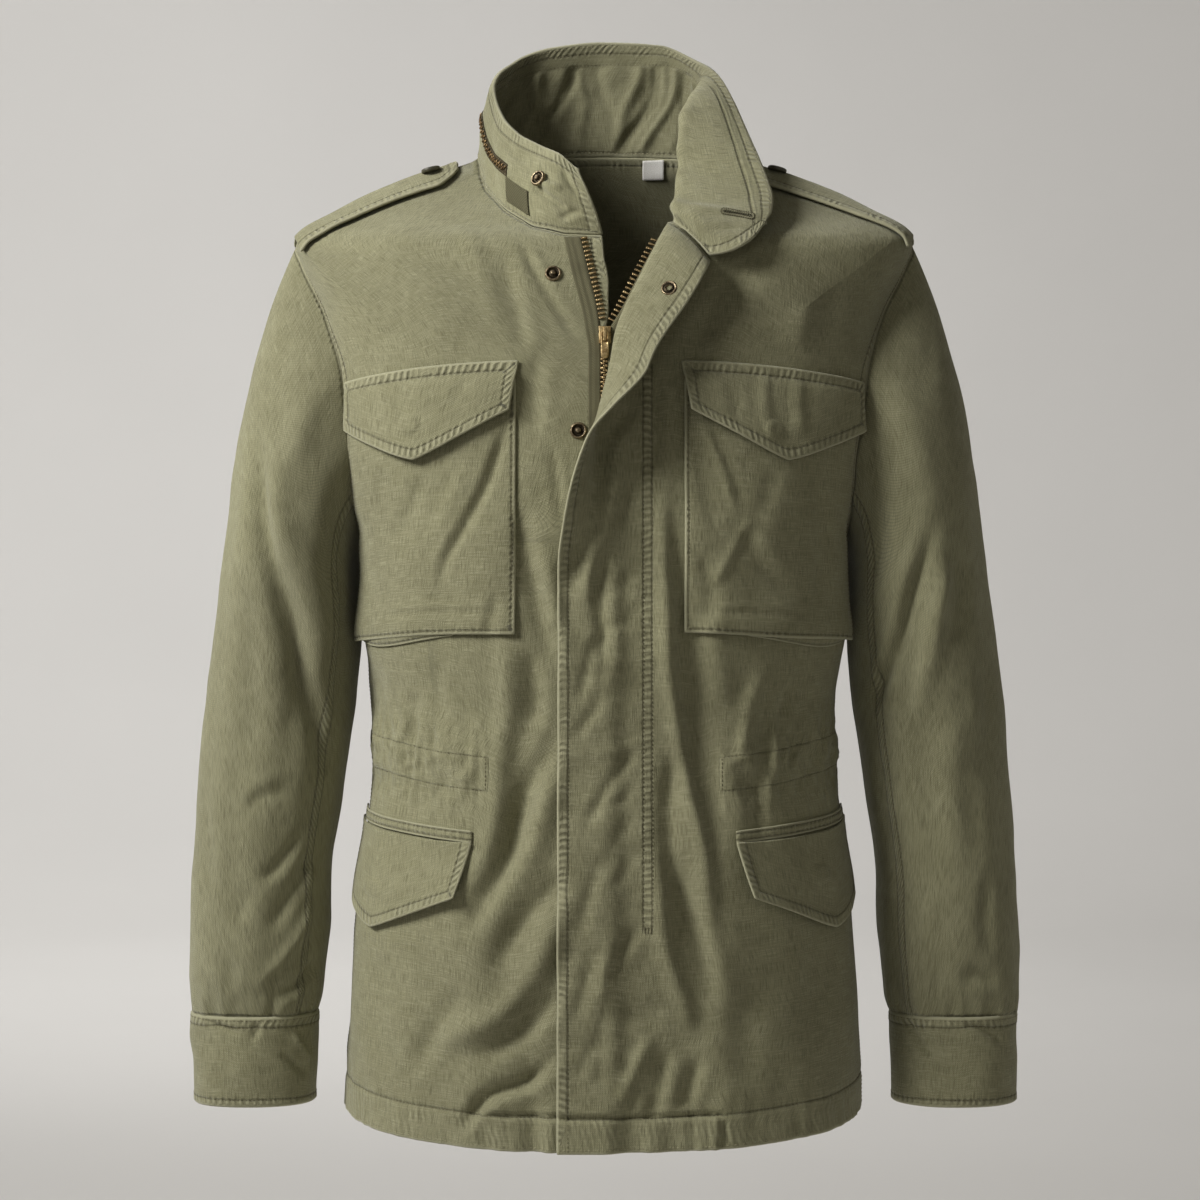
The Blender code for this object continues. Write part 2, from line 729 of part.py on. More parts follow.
# Chest pockets: distance round the body of their inner edge, for the right and left.
CHEST_INNER = {"right": 66.0, "left": 60.0}
CHEST_OUTER = (205.0, 219.0)       # the same to their outer edge, at the mouth and the bottom
CHEST_TOP = (-174.0, -183.0)       # height of the mouth at its inner and outer end
CHEST_BOTTOM = (-361.0, -366.0)
CHEST_PUFF = 3.0                   # how far the pocket fills out
CHEST_FLAP_TOP = (-160.5, -172.5)
CHEST_FLAP_ENDS = (-197.0, -208.0)
CHEST_FLAP_POINT = -234.0
CHEST_FLAP_OUTER = 209.0
HIP_INNER = 98.0                   # hip pockets, the same on both sides
HIP_OUTER = 247.0
HIP_WELT_TOP = (-508.0, -495.0)
HIP_WELT_HEIGHT = 8.0
HIP_FLAP_ENDS = (-556.0, -563.0)
HIP_FLAP_POINT = -584.0
HIP_FLAP_SLANT = 11.0
HIP_POINT_SHARE = 0.6


def pointed(u, share, ends, point):
    """Lower edge of a flap with one point, slightly rounded, at a share of its width."""
    rise = np.where(u < share, u / share, (1 - u) / (1 - share))
    edge = ends[0] + (ends[1] - ends[0]) * u
    tip = point - (ends[0] + (ends[1] - ends[0]) * share)
    return edge + tip * (rise - 0.06 * rise ** 8)


def flap(name, side, tops, lows, sides_s, sides_low_s, share, point, under, rows, cols):
    u = np.linspace(0, 1, cols)[None, :]
    v = np.linspace(0, 1, rows)[:, None]
    top = tops[0] + (tops[1] - tops[0]) * u ** 1.6
    bottom = pointed(u, share, lows, point)
    z = top + (bottom - top) * v
    s = (sides_s[0] + (sides_s[1] - sides_s[0]) * u) * (1 - v)
    s = s + (sides_low_s[0] + (sides_low_s[1] - sides_low_s[0]) * u) * v
    turn = side * turn_at_girth(s, z)
    out = body_normal(z, turn)
    grid = lay(drape(z, turn), out, cover(under))
    wall(name, grid, out)


def build_pockets():
    for name, side in SIDES:
        front = "front_" + name
        inner = CHEST_INNER[name]
        z, turn, u, v = patch((inner, CHEST_OUTER[0], inner, CHEST_OUTER[1]),
                              CHEST_TOP + CHEST_BOTTOM, 9, 8, side)
        out = body_normal(z, turn)
        puff = CHEST_PUFF * (16 * u * (1 - u) * v * (1 - v)) ** 0.6
        grid = lay(drape(z, turn), out, cover([front])) + out * puff[..., None]
        wall("chest_pocket_" + name, grid, out)
        flap("chest_flap_" + name, side, CHEST_FLAP_TOP, CHEST_FLAP_ENDS,
             (inner - 2, CHEST_FLAP_OUTER), (inner + 4, CHEST_FLAP_OUTER),
             0.5, CHEST_FLAP_POINT, [front, "chest_pocket_" + name], 5, 9)
        low = (HIP_WELT_TOP[0] - HIP_WELT_HEIGHT, HIP_WELT_TOP[1] - HIP_WELT_HEIGHT)
        z, turn, u, v = patch((HIP_INNER, HIP_OUTER) * 2, HIP_WELT_TOP + low, 2, 10, side)
        out = body_normal(z, turn)
        grid = lay(drape(z, turn), out, cover([front]))
        wall("hip_welt_" + name, grid, out)
        flap("hip_flap_" + name, side, (low[0] - 0.6, low[1] - 0.6), HIP_FLAP_ENDS,
             (HIP_INNER, HIP_OUTER), (HIP_INNER + HIP_FLAP_SLANT, HIP_OUTER - 3),
             HIP_POINT_SHARE, HIP_FLAP_POINT, [front], 5, 9)


# ------------------------------------------------------------- shoulder loops
LOOP_TIP_X = 114.0
LOOP_END_X = 237.5
LOOP_HALF = (19.0, 24.0)           # half width near the tip and at the sleeve
LOOP_MIDDLE_Y = (-2.0, -12.0)
LOOP_POINT = 15.0                  # length of the pointed end
LOOP_DROP = 0.011                  # fall of its edges, for each square of the distance out
BUTTON_RADIUS = 7.5


def shoulder_height(x, y):
    """Height of the body form above a point near the shoulder, by halving."""
    low = np.full(np.broadcast(x, y).shape, -150.0)
    high = np.full(low.shape, 20.0)
    for _ in range(40):
        z = (low + high) / 2
        depth = np.where(y < 0, column(SECTIONS, 2, z), column(SECTIONS, 3, z))
        half = column(SECTIONS, 1, z)
        inside = np.abs(x / half) ** SQUARE + np.abs(y / depth) ** SQUARE < 1
        low, high = np.where(inside, z, low), np.where(inside, high, z)
    return (low + high) / 2


def build_shoulder_loops():
    x = np.concatenate(([LOOP_TIP_X], np.linspace(LOOP_TIP_X + LOOP_POINT, LOOP_END_X, 9)))
    along = (x - LOOP_TIP_X) / (LOOP_END_X - LOOP_TIP_X)
    half = LOOP_HALF[0] + (LOOP_HALF[1] - LOOP_HALF[0]) * along
    half[0] = 4.0
    across = np.linspace(-1, 1, 6)[None, :]
    y = (LOOP_MIDDLE_Y[0] + (LOOP_MIDDLE_Y[1] - LOOP_MIDDLE_Y[0]) * along)[:, None]
    y = y + half[:, None] * across
    x = np.broadcast_to(x[:, None], y.shape)
    z = shoulder_height(x, np.zeros(x.shape)) - LOOP_DROP * (half[:, None] * across) ** 2
    grid = np.stack((x, y, z), axis=-1)
    out = grid_normals(grid, False)
    out *= np.sign(out[..., 2:])
    for name, side in SIDES:
        panels = cover(["front_" + name, "back"])
        way = mirrored(out, side)
        laid = lay(mirrored(grid, side), way, panels, LAID + 0.3)
        wall("epaulette_" + name, laid, way, DOUBLE)
        foot = seat(laid[2, 2:4].mean(axis=0), way[2, 2], cover(["epaulette_" + name]))
        lathe("epaulette_button_" + name, BUTTON, foot, way[2, 2], OLIVE_DARK)


# ------------------------------------------------------------- turned hardware
# Profiles of turned pieces: radius and height, from the middle of the top to the foot.
BUTTON = ((0, 2.4), (5.2, 2.2), (6.0, 3.0), (7.5, 2.4), (7.5, 0.8), (6.8, 0))
STUD = ((0, 3.0), (1.7, 3.0), (2.1, 1.1), (4.2, 1.1), (4.8, 1.9), (5.8, 1.5), (6.2, 0))
SOCKET = ((0, 1.0), (2.0, 1.0), (2.4, 2.2), (4.0, 2.4), (5.6, 1.6), (6.2, 0))


def lathe(name, profile, foot, axis, look=BRASS, sides=16):
    """Turned solid standing on its foot along an axis."""
    axis = Vector(axis).normalized()
    across = axis.orthogonal().normalized()
    other = axis.cross(across)
    foot = Vector(foot)
    points = [foot + axis * profile[0][1]]
    for radius, height in profile[1:]:
        for i in range(sides):
            angle = math.tau * i / sides
            points.append(foot + axis * height
                          + (across * math.cos(angle) + other * math.sin(angle)) * radius)
    points.append(foot + axis * profile[-1][1])
    faces = []
    for i in range(sides):
        j = (i + 1) % sides
        faces.append((0, 1 + i, 1 + j))
        for level in range(len(profile) - 2):
            a, b = 1 + level * sides + i, 1 + level * sides + j
            faces.append((a, a + sides, b + sides))
            faces.append((a, b + sides, b))
        base = 1 + (len(profile) - 2) * sides
        faces.append((len(points) - 1, base + j, base + i))
    return add_object(name, [tuple(point) for point in points], faces, look)


# Snaps on the right front: distance from the middle and height.
STUDS = {"upper": (-38.0, -94.0), "lower": (-19.0, -212.0)}
FLY_SNAP = (-95.5, 0.69)           # fold height and share of the fly's width
COLLAR_SNAP = (47.0, 0.62)         # walk along the collar and share of its height


def build_snaps(seam):
    panel = cover(["front_right"])
    for name, (x, z) in STUDS.items():
        height = np.array([z])
        turn = turn_at_x(np.array([x]), height)
        normal = body_normal(height, turn)[0]
        foot = seat(drape(height, turn)[0], normal, panel)
        lathe("snap_stud_" + name, STUD, foot, normal)
    z, share = FLY_SNAP
    around = fly_strip(np.array([z, z, z - 4]), np.array([share, share + 0.1, share]))
    normal = Vector(np.cross(around[1] - around[0], around[2] - around[0])).normalized()
    if normal.y > 0:
        normal = -normal
    foot = seat(around[0], normal, cover(["front_left"]))
    lathe("snap_socket_upper", SOCKET, foot, normal)
    spot, normal = collar_place(seam, *COLLAR_SNAP)
    lathe("snap_collar", STUD, seat(spot, normal, cover(["collar"])), normal)


# ------------------------------------------------------- pieces on the collar
HOOD_ZIP = (84.0, 408.0, 0.5, 5.0)     # walk from and to, share of the height, half width
COLLAR_PATCH = (57.0, 84.0, 0.12, 0.42)
NECK_LABEL = (32.0, 49.0, 17.5, 3.5)   # distance from the middle and height, from and to
TRIM = 1.0                             # wall of the trim
LABEL_WALL = 0.8


def collar_patch_grid(seam, walks, shares):
    """Points and outward normals of the collar at rows of shares and columns of walks."""
    total = collar_walk(seam)
    spots = np.stack([np.interp(walks, total, seam[:, i]) for i in range(3)], axis=-1)
    grid = collar_surface(spots, np.asarray(walks), shares)
    return grid, -grid_normals(grid, False)


def collar_place(seam, walk, share):
    grid, out = collar_patch_grid(seam, np.array([walk - 4, walk, walk + 4]),
                                  np.array([share - 0.05, share, share + 0.05]))
    return grid[1, 1], out[1, 1]


def build_collar_trim(seam):
    tree = cover(["collar"])
    start, end, share, half = HOOD_ZIP
    walks = np.linspace(start, end, 26)
    middle, _ = collar_patch_grid(seam, walks, np.array([share - 0.06, share, share + 0.06]))
    tall = np.linalg.norm(middle[2] - middle[0], axis=-1) / 0.12
    low, high = share - half / tall, share + half / tall
    lower, _ = collar_patch_grid(seam, walks, low)
    upper, _ = collar_patch_grid(seam, walks, high)
    ends = np.arange(len(walks))
    grid = np.stack((lower[ends, ends], upper[ends, ends]))
    out = np.stack([-grid_normals(middle, False)[1]] * 2)
    wall("collar_hood_zip", lay(grid, out, tree), out, TRIM, BRASS)
    start, end, low, high = COLLAR_PATCH
    grid, out = collar_patch_grid(seam, np.linspace(start, end, 4), np.linspace(low, high, 4))
    wall("collar_patch", lay(grid, out, tree), out, TRIM, OLIVE_DARK)
    x0, x1, z0, z1 = NECK_LABEL
    z = np.linspace(z0, z1, 3)[:, None]
    turn = 180 - np.degrees(np.arcsin((np.linspace(x0, x1, 3)[None, :]
                                       / column(SECTIONS, 1, z)) ** (SQUARE / 2)))
    grid = drape(z, turn, -(CLOTH + 1.0))
    wall("neck_label", grid, -body_normal(z, turn), LABEL_WALL, LABEL)


# ------------------------------------------------------------------------- zip
# Zip tapes: height, then the sewn and the toothed edge of the right one, and the toothed and
# the sewn edge of the left one, each from the middle.
TAPES = (
    (-702, -11.5, -3.2, 3.2, 13),
    (-150, -11.5, -3.2, 3.2, 16),
    (-141, -13, -3.5, 3.5, 19),
    (-123, -16, -5, 12.5, 26),
    (-100, -22, -10, 24, 36),
    (-66, -30, -18, 41.5, 52),
)
TAPE_TOP = -66.0
TAPE_FOOT = -700.0
TAPE_WALL = 0.8
CHAIN_WIDTH = 5.2
CHAIN_WALL = 2.2
OPEN_CHAIN_TOP = -67.0
OPEN_CHAIN_FOOT = -129.0
CLOSED_CHAIN_TOP = -149.0


def strip(name, heights, edges, thickness, look, carrier, under=False):
    """A strip down the centre front, laid on a front panel or under it."""
    z = np.asarray(heights, float)[:, None]
    x = np.concatenate([edge(z) for edge in edges], axis=1)
    turn = turn_at_x(x, z)
    out = body_normal(z, turn) * (-1 if under else 1)
    grid = lay(drape(z, turn), out, cover([carrier]))
    wall(name, grid, out, thickness, look)


def tape_edge(index, shift=0.0):
    return lambda z: column(TAPES, index, z) + shift


def build_zip():
    tape = np.concatenate((np.linspace(TAPE_TOP, -200, 9), np.linspace(-200, TAPE_FOOT, 12)[1:]))
    open_part = np.linspace(OPEN_CHAIN_TOP, OPEN_CHAIN_FOOT, 6)
    closed_part = np.linspace(CLOSED_CHAIN_TOP, TAPE_FOOT, 16)
    near, far = SEAM, SEAM + CHAIN_WIDTH
    half = CHAIN_WIDTH / 2
    strip("zip_tape_right", tape, (tape_edge(1), tape_edge(2)), TAPE_WALL, OLIVE_DARK,
          "front_right")
    strip("zip_tape_left", tape, (tape_edge(3), tape_edge(4)), TAPE_WALL, OLIVE_DARK,
          "front_left", True)
    strip("zip_chain_right", open_part, (tape_edge(2, near), tape_edge(2, far)), CHAIN_WALL,
          BRASS, "front_right")
    strip("zip_chain_left", open_part, (tape_edge(3, -far), tape_edge(3, -near)), CHAIN_WALL,
          BRASS, "front_left", True)
    strip("zip_chain_lower", closed_part, (lambda z: z * 0 - half, lambda z: z * 0 + half),
          CHAIN_WALL, BRASS, "front_left", True)


def blocks(name, xs, ys, zs, filled, centre):
    """Closed solid of the filled cells of a box lattice, its origin at its centre."""
    index = {}
    points, faces = [], []

    def corner(cell):
        if cell not in index:
            index[cell] = len(points)
            points.append((centre[0] + xs[cell[0]], centre[1] + ys[cell[1]],
                           centre[2] + zs[cell[2]]))
        return index[cell]

    sides = (((1, 0, 0), ((1, 0, 0), (1, 1, 0), (1, 1, 1), (1, 0, 1))),
             ((-1, 0, 0), ((0, 0, 0), (0, 0, 1), (0, 1, 1), (0, 1, 0))),
             ((0, 1, 0), ((0, 1, 0), (0, 1, 1), (1, 1, 1), (1, 1, 0))),
             ((0, -1, 0), ((0, 0, 0), (1, 0, 0), (1, 0, 1), (0, 0, 1))),
             ((0, 0, 1), ((0, 0, 1), (1, 0, 1), (1, 1, 1), (0, 1, 1))),
             ((0, 0, -1), ((0, 0, 0), (0, 1, 0), (1, 1, 0), (1, 0, 0))))
    for i, j, k in sorted(filled):
        for (di, dj, dk), corners in sides:
            if (i + di, j + dj, k + dk) in filled:
                continue
            a, b, c, d = (corner((i + u, j + v, k + w)) for u, v, w in corners)
            faces.extend(((a, b, c), (a, c, d)))
    return add_object(name, points, faces, BRASS, tuple(centre))


SLIDER_X = 0.5
SLIDER_LIFT = 2.7
SLIDER_DEPTH = 3.8
HINGE_PROUD = 1.35                 # the tab's hinge stands this far out of the slider
HINGE_UP = 2.5


def build_slider():
    """Slider with its bridge, and the pull tab hung on it with its origin on the hinge."""
    z = np.array([ZIP_OPEN_Z])
    front = drape(z, turn_at_x(np.array([SLIDER_X]), z))[0]
    centre = np.array((SLIDER_X, front[1] - SLIDER_LIFT - SLIDER_DEPTH, ZIP_OPEN_Z))
    body_cells = {(i, 2, k) for i in range(3) for k in range(5)}
    bridge_cells = {(1, 1, 1), (1, 1, 3), (1, 0, 1), (1, 0, 2), (1, 0, 3)}
    blocks("zip_slider", (-4.5, -1.0, 1.0, 4.5), (-4.0, -2.7, 0.0, SLIDER_DEPTH),
           (-6.5, -4.4, -3.0, 4.0, 5.4, 6.5), body_cells | bridge_cells, centre)
    hinge = centre + np.array((0, -HINGE_PROUD, HINGE_UP))
    tab_cells = {(i, 0, k) for i in range(3) for k in range(3)} - {(1, 0, 1)}
    blocks("zip_pull_tab", (-3.8, -2.0, 2.0, 3.8), (-0.75, 0.75), (-20.0, -8.2, -0.75, 0.75),
           tab_cells, hinge)


def main():
    for item in list(bpy.data.objects):
        bpy.data.objects.remove(item, do_unlink=True)
    seam = build_body()
    build_sleeves()
    build_pockets()
    build_shoulder_loops()
    build_snaps(seam)
    build_collar_trim(seam)
    build_zip()
    build_slider()


main()
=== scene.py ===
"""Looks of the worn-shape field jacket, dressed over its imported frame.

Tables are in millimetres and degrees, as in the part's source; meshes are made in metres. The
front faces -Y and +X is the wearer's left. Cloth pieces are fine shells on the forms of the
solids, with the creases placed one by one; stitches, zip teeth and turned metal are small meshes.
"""
import math

import bmesh
import bpy
import numpy as np
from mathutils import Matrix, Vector
from mathutils.bvhtree import BVHTree


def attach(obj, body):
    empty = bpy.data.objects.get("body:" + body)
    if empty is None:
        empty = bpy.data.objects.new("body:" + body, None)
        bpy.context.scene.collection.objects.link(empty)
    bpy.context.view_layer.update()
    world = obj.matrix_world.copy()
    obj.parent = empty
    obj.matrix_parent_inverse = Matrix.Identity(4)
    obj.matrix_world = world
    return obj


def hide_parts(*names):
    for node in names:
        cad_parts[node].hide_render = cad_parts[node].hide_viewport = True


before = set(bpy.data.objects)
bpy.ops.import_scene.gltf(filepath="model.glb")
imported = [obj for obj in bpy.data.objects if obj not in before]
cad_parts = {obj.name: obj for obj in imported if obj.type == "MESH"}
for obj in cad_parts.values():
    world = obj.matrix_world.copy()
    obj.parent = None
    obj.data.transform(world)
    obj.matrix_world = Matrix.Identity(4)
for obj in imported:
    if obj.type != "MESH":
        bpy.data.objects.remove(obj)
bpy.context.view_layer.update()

MM = 0.001
CLOTH = 1.5            # wall of one layer of cloth
DOUBLE = 2.2           # wall of a faced or folded piece
SEAM = 0.3             # gap between neighbouring pieces
SQUARE = 2.4           # superellipse power of every body section

NECK_Z = 8.0           # shoulder seam at the neck
TIP_Z = -62.0          # shoulder seam at the sleeve
NECK_X = 97.0
UNDERARM_Z = -290.0
FRONT_TOP_Z = -57.0    # where the centre edges of the fronts meet the neckline
HEM_SIDE_Z = -727.0
HEM_FRONT_DROP = 13.0
HEM_BACK_DROP = 7.0
ZIP_OPEN_Z = -141.0    # height of the slider

# Body sections: height, half width, depth to the front, depth to the back.
SECTIONS = (
    (-745, 201, 143, 131),
    (-700, 199, 142, 130),
    (-618, 195, 138, 130),
    (-555, 190, 137, 126),
    (-505, 184, 133, 119),
    (-462, 179, 126, 107),
    (-420, 180, 124, 107),
    (-368, 185, 127, 113),
    (-294, 187, 127, 120),
    (-262, 196, 124, 121),
    (-215, 209, 121, 121),
    (-170, 216, 115, 118),
    (-121, 220, 106, 113),
    (-76, 235, 92, 105),
    (-62, 240, 83, 102),
    (-53, 234, 67, 99),
    (-39, 210, 49, 96),
    (-24, 182, 29, 92),
    (-9, 145, 14, 87),
    (8, 97, 4, 80),
    (20, 97, 4, 74),
)
# Armhole edge: height, turn from the centre front, turn from the centre back.
ARMHOLE = (
    (-290, 90, 90),
    (-284, 83, 81.7),
    (-275, 77.8, 75.4),
    (-262, 73, 70.7),
    (-215, 65.3, 63.4),
    (-170, 64.8, 63.3),
    (-121, 73.5, 73.3),
    (-76, 84.7, 84.9),
    (-62, 90, 90),
)
# Neckline: distance from the middle, height in front, height at the back.
NECKLINE = (
    (0, -64, 19),
    (30, -62.6, 18.6),
    (54, -56, 17),
    (75.5, -40, 14.6),
    (91, -20, 11.4),
    (96.6, 0, 8.6),
    (97, 8, 8),
)
# Centre fronts: height, edge of the right front, fold line of the left front.
CENTRE_EDGES = (
    (-745, -3, 0),
    (-215, -3, 1),
    (-195, -3, 4),
    (-175, -3, 8),
    (-160, -2, 11),
    (-141, 0, 14),
    (-123, 3, 20),
    (-100, 3, 31),
    (-80, 0, 41),
    (-57, -2, 53),
)
# Storm fly: height, width, turn out of the front, drop of its free edge.
FLY = (
    (-745, 34, 0, 0),
    (-330, 34, 0, 0),
    (-280, 35, 36, 0),
    (-244, 36, 58, 2),
    (-207, 37, 85, 6),
    (-189, 38, 106, 8),
    (-153, 41, 142, 14),
    (-100, 45, 150, 24),
    (-57, 48, 140, 34),
)
FLY_RISE = 5.0         # the fly lies this far over the right front
FLY_ROLL = 12.0        # length of cloth in its fold

# Folds of the body: first distance from the middle (+ is the wearer's left) and height, second
# distance and height, half width, depth (- is a trough).
FRONT_FOLDS = (
    (-72, -375, -50, -760, 15, -7),
    (-112, -385, -84, -760, 18, 6),
    (-160, -400, -122, -760, 17, -6),
    (-60, -180, -118, -345, 16, -4),
    (52, -330, 62, -760, 13, -5),
    (84, -380, 92, -760, 17, 5),
    (128, -585, 134, -760, 15, -6),
    (60, -175, 112, -330, 16, -4),
    (150, -370, 158, -520, 14, -3),
)
BACK_FOLDS = (
    (-95, -150, -120, -420, 16, -5),
    (95, -150, 120, -420, 16, -5),
    (-30, -470, -42, -760, 18, -6),
    (38, -480, 26, -760, 18, -6),
    (-100, -480, -118, -760, 20, -6),
    (104, -470, 116, -760, 20, -6),
    (-64, -500, -78, -760, 18, 4),
    (70, -500, 72, -760, 18, 4),
)
WAIST_Z = -458.0
GATHER_PITCH = 41.0
GATHER_DEPTH = 1.8
GATHER_REACH = 34.0

# Creases laid over the folds: points of a curve, each a distance from the middle (+ is the
# wearer's left) and a height, then half width and depth (- is a trough).
FRONT_CREASES = (
    (((-39, -219), (-35, -249), (-32, -271), (-28, -293)), 2.9, -2),
    (((-62, -263), (-59, -293), (-52, -330), (-43, -366), (-35, -403)), 7.4, -3.6),
    (((-45, -297), (-39, -330), (-34, -366)), 5.9, 2.2),
    (((-74, -344), (-72, -381), (-71, -418), (-77, -458), (-79, -492), (-86, -528),
      (-99, -565)), 8.8, 3.4),
    (((-56, -366), (-51, -403), (-54, -436)), 6.6, -2.6),
    (((-31, -425), (-47, -458), (-63, -493), (-72, -525), (-91, -561), (-105, -595)), 8.1, -5),
    (((-32, -458), (-44, -493), (-53, -521), (-73, -561)), 9.6, 2.8),
    (((-29, -532), (-42, -554), (-68, -584), (-84, -624)), 8.8, -4.2),
    (((-31, -561), (-41, -587), (-54, -613), (-75, -640), (-102, -655), (-135, -666)), 9.6, 5),
    (((-29, -617), (-46, -640), (-71, -661), (-99, -676)), 6.6, -3),
    (((-28, -661), (-54, -687), (-82, -699), (-96, -712), (-108, -734)), 5.2, -5.4),
    (((-99, -620), (-117, -642), (-132, -665), (-150, -694)), 8.1, -2.8),
    (((-139, -403), (-142, -425), (-140, -446)), 4.4, -1.2),
    (((-147, -61), (-139, -90), (-128, -116), (-119, -138)), 6.6, -2),
    (((-65, -62), (-52, -90), (-32, -124), (-13, -153)), 3.3, -2.4),
    (((-77, -65), (-70, -101), (-63, -131), (-60, -160)), 5.9, -1.8),
    (((-171, -109), (-159, -135), (-141, -159)), 7.4, -1.4),
    (((-47, -149), (-53, -182), (-49, -227)), 7.4, -1.8),
    (((-105, -54), (-93, -87), (-75, -146)), 6.6, 1.4),
    (((-154, -403), (-150, -429), (-153, -447)), 3.7, 1.4),
    (((-121, -374), (-124, -403), (-118, -436)), 5.9, -1.2),
    (((-176, -381), (-171, -411), (-173, -440)), 5.9, -1.2),
    (((26, -186), (6, -212), (-10, -256), (-20, -300), (-24, -337)), 6.6, -4.6),
    (((26, -219), (13, -245), (0, -282), (-9, -315), (-16, -352)), 6.6, 3),
    (((1, -293), (-4, -330), (0, -366), (-3, -403)), 5.9, -3),
    (((27, -312), (13, -325), (-4, -337)), 4.3, -0.8),
    (((26, -346), (6, -358), (-10, -374)), 5.1, -0.8),
    (((-4, -359), (-12, -385), (-20, -416)), 4.6, -1.4),
    (((0, -406), (-12, -425), (-24, -440)), 4.3, -1.3),
    (((28, -442), (15, -456), (3, -474), (-9, -495), (-19, -509)), 4.6, -1.7),
    (((20, -497), (7, -514), (-1, -543)), 4.3, -1.1),
    (((-1, -522), (-10, -550), (-20, -587)), 5.1, -1.3),
    (((29, -573), (15, -590), (3, -620)), 4.6, -1.5),
    (((-8, -589), (-14, -620), (-23, -646)), 5.5, -1.5),
    (((8, -580), (1, -606), (-4, -637)), 4.6, 1.3),
    (((6, -624), (-3, -662), (0, -701)), 5.9, -1.4),
    (((25, -473), (12, -483), (3, -493)), 3.4, -0.8),
    (((24, -528), (13, -537), (6, -550)), 3.4, -0.8),
    (((-6, -653), (-13, -672), (-22, -687)), 4.3, -1),
    (((49, -230), (43, -263), (43, -300), (46, -344), (47, -381), (52, -418), (59, -466),
      (68, -503), (74, -536), (77, -569), (75, -602)), 5.9, 4.4),
    (((38, -168), (39, -205), (38, -247)), 4.4, -2.6),
    (((63, -308), (66, -374), (72, -425), (81, -481), (90, -528)), 9.6, -4),
    (((52, -444), (47, -484), (48, -521), (53, -561)), 6.6, -3.6),
    (((54, -521), (60, -558), (71, -598), (82, -639)), 6.6, -4.4),
    (((37, -514), (40, -550), (44, -587), (53, -617), (60, -639), (63, -668)), 6.6, 4),
    (((7, -634), (27, -640), (47, -634)), 8.1, -1.6),
    (((38, -646), (26, -672), (16, -694), (10, -714)), 5.2, 3.2),
    (((47, -661), (39, -692), (33, -720)), 5.9, -3.8),
    (((71, -668), (63, -692), (56, -714)), 5.2, -2.6),
    (((102, -462), (105, -436), (109, -411), (124, -381)), 6.6, 2.6),
    (((121, -414), (117, -455), (115, -484), (116, -517)), 4.4, -2.4),
    (((138, -396), (134, -425), (130, -449)), 4.4, -1.8),
    (((171, -72), (155, -101), (146, -131), (144, -157)), 11, 2.4),
    (((107, -79), (91, -105), (75, -135), (63, -154)), 10.3, -2.8),
    (((84, -403), (87, -436), (95, -462)), 6.6, -2),
    (((118, -606), (104, -653), (110, -705)), 13.2, -2.2),
    (((158, -536), (161, -602), (152, -679)), 14.7, -2.4),
    (((-162, -595), (-171, -646), (-160, -701)), 11.8, -2.2),
    (((-87, -715), (-88, -727), (-86, -742)), 2.2, -2.6),
    (((86, -715), (87, -727), (85, -742)), 2.2, -2.6),
)
BACK_CREASES = (
    (((-150, -110), (-120, -190), (-128, -270)), 13, -3.4),
    (((150, -110), (122, -185), (130, -262)), 13, -3.2),
    (((-60, -60), (-20, -78), (30, -70)), 14, -1.6),
    (((-70, -150), (-64, -230), (-80, -320)), 14, -2.4),
    (((62, -160), (70, -240), (58, -330)), 14, -2.6),
    (((0, -260), (-8, -340), (4, -430)), 16, -2.0),
    (((-120, -330), (-96, -380), (-104, -440)), 11, -3.2),
    (((118, -340), (98, -390), (108, -440)), 11, -3.0),
    (((-30, -490), (-44, -580), (-34, -690)), 12, -3.8),
    (((44, -500), (30, -590), (42, -700)), 12, -3.6),
    (((-104, -490), (-124, -570), (-112, -680)), 13, -3.6),
    (((110, -490), (124, -580), (130, -690)), 13, -3.4),
    (((-8, -520), (4, -600), (-4, -700)), 10, 2.4),
    (((78, -520), (88, -600), (76, -680)), 12, 2.2),
    (((-80, -540), (-72, -620), (-82, -690)), 12, 2.2),
)
# Drawcord casing round the waist: turn from the centre front, height of its upper stitches.
CASING = (
    (24.2, -453.5),
    (40, -449.6),
    (60, -443),
    (90, -437),
    (130, -441),
    (180, -446),
)
# Ridge beside the turned-out fly's fold: height on the body, how far it stands out.
LAPEL_RIDGE = ((-350, 0), (-300, 1.5), (-245, 4.5), (-190, 8.0), (-110, 8.5), (-57, 5.0), (-25, 0))
HEM_BAND = 25.0            # height of the hem's stitches over its edge
CASING_TURN = 24.2         # turn at which the casing starts
CASING_HEIGHT = 24.8       # between its two rows of stitches
CREASE_SHOULDER = 0.28     # share of a crease's depth that stands up beside it
FRONT_GAIN, BACK_GAIN = 1.35, 1.5      # how much deeper than its table a crease is built
SLEEVE_GAIN, CUFF_GAIN, LEAF_GAIN = 1.3, 1.6, 1.35
RIPPLES = ((46.0, 1.5), (19.0, 0.5))   # size and height of the cloth's unevenness


def smooth(value):
    """Ease from 0 to 1."""
    value = np.clip(value, 0.0, 1.0)
    return value * value * (3 - 2 * value)


def bell(value):
    """1 at 0, falling away to both sides."""
    return np.exp(-value ** 2)


def unit(vectors):
    """Vectors brought to length 1."""
    return vectors / np.linalg.norm(vectors, axis=-1, keepdims=True)


def between(ends, share):
    """Value at a share of the way between two ends."""
    return ends[0] + (ends[1] - ends[0]) * share


def run_along(points, axis=0):
    """Length of the lines through points, from their start, along an axis."""
    run = np.linalg.norm(np.diff(points, axis=axis), axis=-1).cumsum(axis=axis)
    return np.concatenate((np.zeros_like(run.take([0], axis)), run), axis=axis)


def columns(table, where, *indices):
    """Several columns of a table at a height."""
    return [column(table, index, where) for index in indices]


